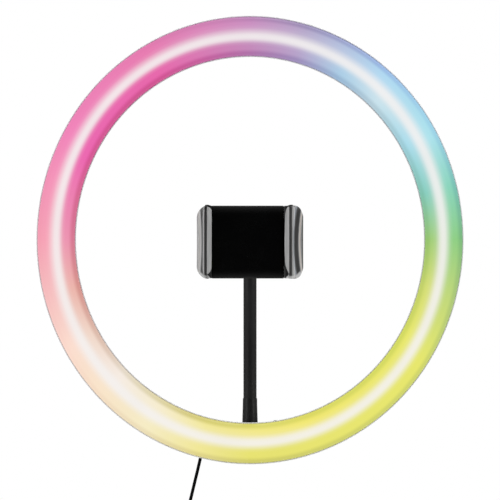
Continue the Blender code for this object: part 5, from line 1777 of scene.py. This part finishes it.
# the camera itself sees plain white
backdrop = studio.node("ShaderNodeBackground")
studio.feed(backdrop.inputs["Strength"], 1.0)
studio.feed(backdrop.inputs["Color"], (1.0, 1.0, 1.0))
seen = studio.node("ShaderNodeLightPath").outputs["Is Camera Ray"]
pick = studio.node("ShaderNodeMixShader")
for socket, value in enumerate((seen, ambient.outputs[0], backdrop.outputs[0])):
    studio.feed(pick.inputs[socket], value)
sky = studio.node("ShaderNodeOutputWorld")
studio.feed(sky.inputs["Surface"], pick.outputs[0])

# ---------------------------------------------------------------- lights
LIGHT_TARGET = Vector((0.0, -0.02, 0.11))


def soft_box(name, location, width, height, power):
    light = bpy.data.lights.new(name, "AREA")
    light.shape = "RECTANGLE"
    light.size, light.size_y = width, height
    light.energy = power
    obj = bpy.data.objects.new(name, light)
    scene.collection.objects.link(obj)
    obj.location = location
    obj.rotation_euler = (LIGHT_TARGET - Vector(location)).to_track_quat("-Z", "Y").to_euler()
    obj.visible_camera = False


soft_box("soft_left", location=(-1.15, -0.75, 0.30), width=0.35, height=1.1, power=7.5)
soft_box("soft_right", location=(1.15, -0.75, 0.30), width=0.35, height=1.1, power=6.5)
soft_box("soft_top", location=(0.0, -0.55, 1.30), width=1.2, height=0.5, power=10.0)
soft_box("soft_back", location=(0.35, 1.05, 1.00), width=0.9, height=0.6, power=4.0)

# ---------------------------------------------------------------- camera
LEAN = math.acos(0.952)  # of the view's up axis towards -Y
DISTANCE = 13.5
VIEW_WIDTH = 0.3044  # seen at the ring's split
SENSOR_WIDTH = 36.0  # millimetres
# Columns are the view's X, Y and Z axes.  An object can't hold a shear, so it is split into
# a turned and scaled mount and a turned camera on it.
shear = np.array([[1, 0, 0], [0, -math.sin(LEAN), -1], [0, math.cos(LEAN), 0]], float)
left, scales, right = np.linalg.svd(shear)
if np.linalg.det(left) < 0:
    left[:, 2] *= -1
    right[2] *= -1
mount = bpy.data.objects.new("camera_mount", None)
scene.collection.objects.link(mount)
stand = Matrix.Translation((0.0, SPLIT_Y * MM - DISTANCE, RING_Z * MM - 0.0062))
mount.matrix_world = stand @ Matrix(left.tolist()).to_4x4()
mount.scale = tuple(float(s) for s in scales)
camera = bpy.data.cameras.new("camera")
camera.lens = SENSOR_WIDTH * DISTANCE / VIEW_WIDTH
camera.clip_start = 0.5
camera.clip_end = 60.0
eye = bpy.data.objects.new("camera", camera)
scene.collection.objects.link(eye)
eye.parent = mount
eye.matrix_basis = Matrix(right.tolist()).to_4x4()
scene.camera = eye
scene.view_settings.view_transform = "Standard"
scene.view_settings.look = "None"
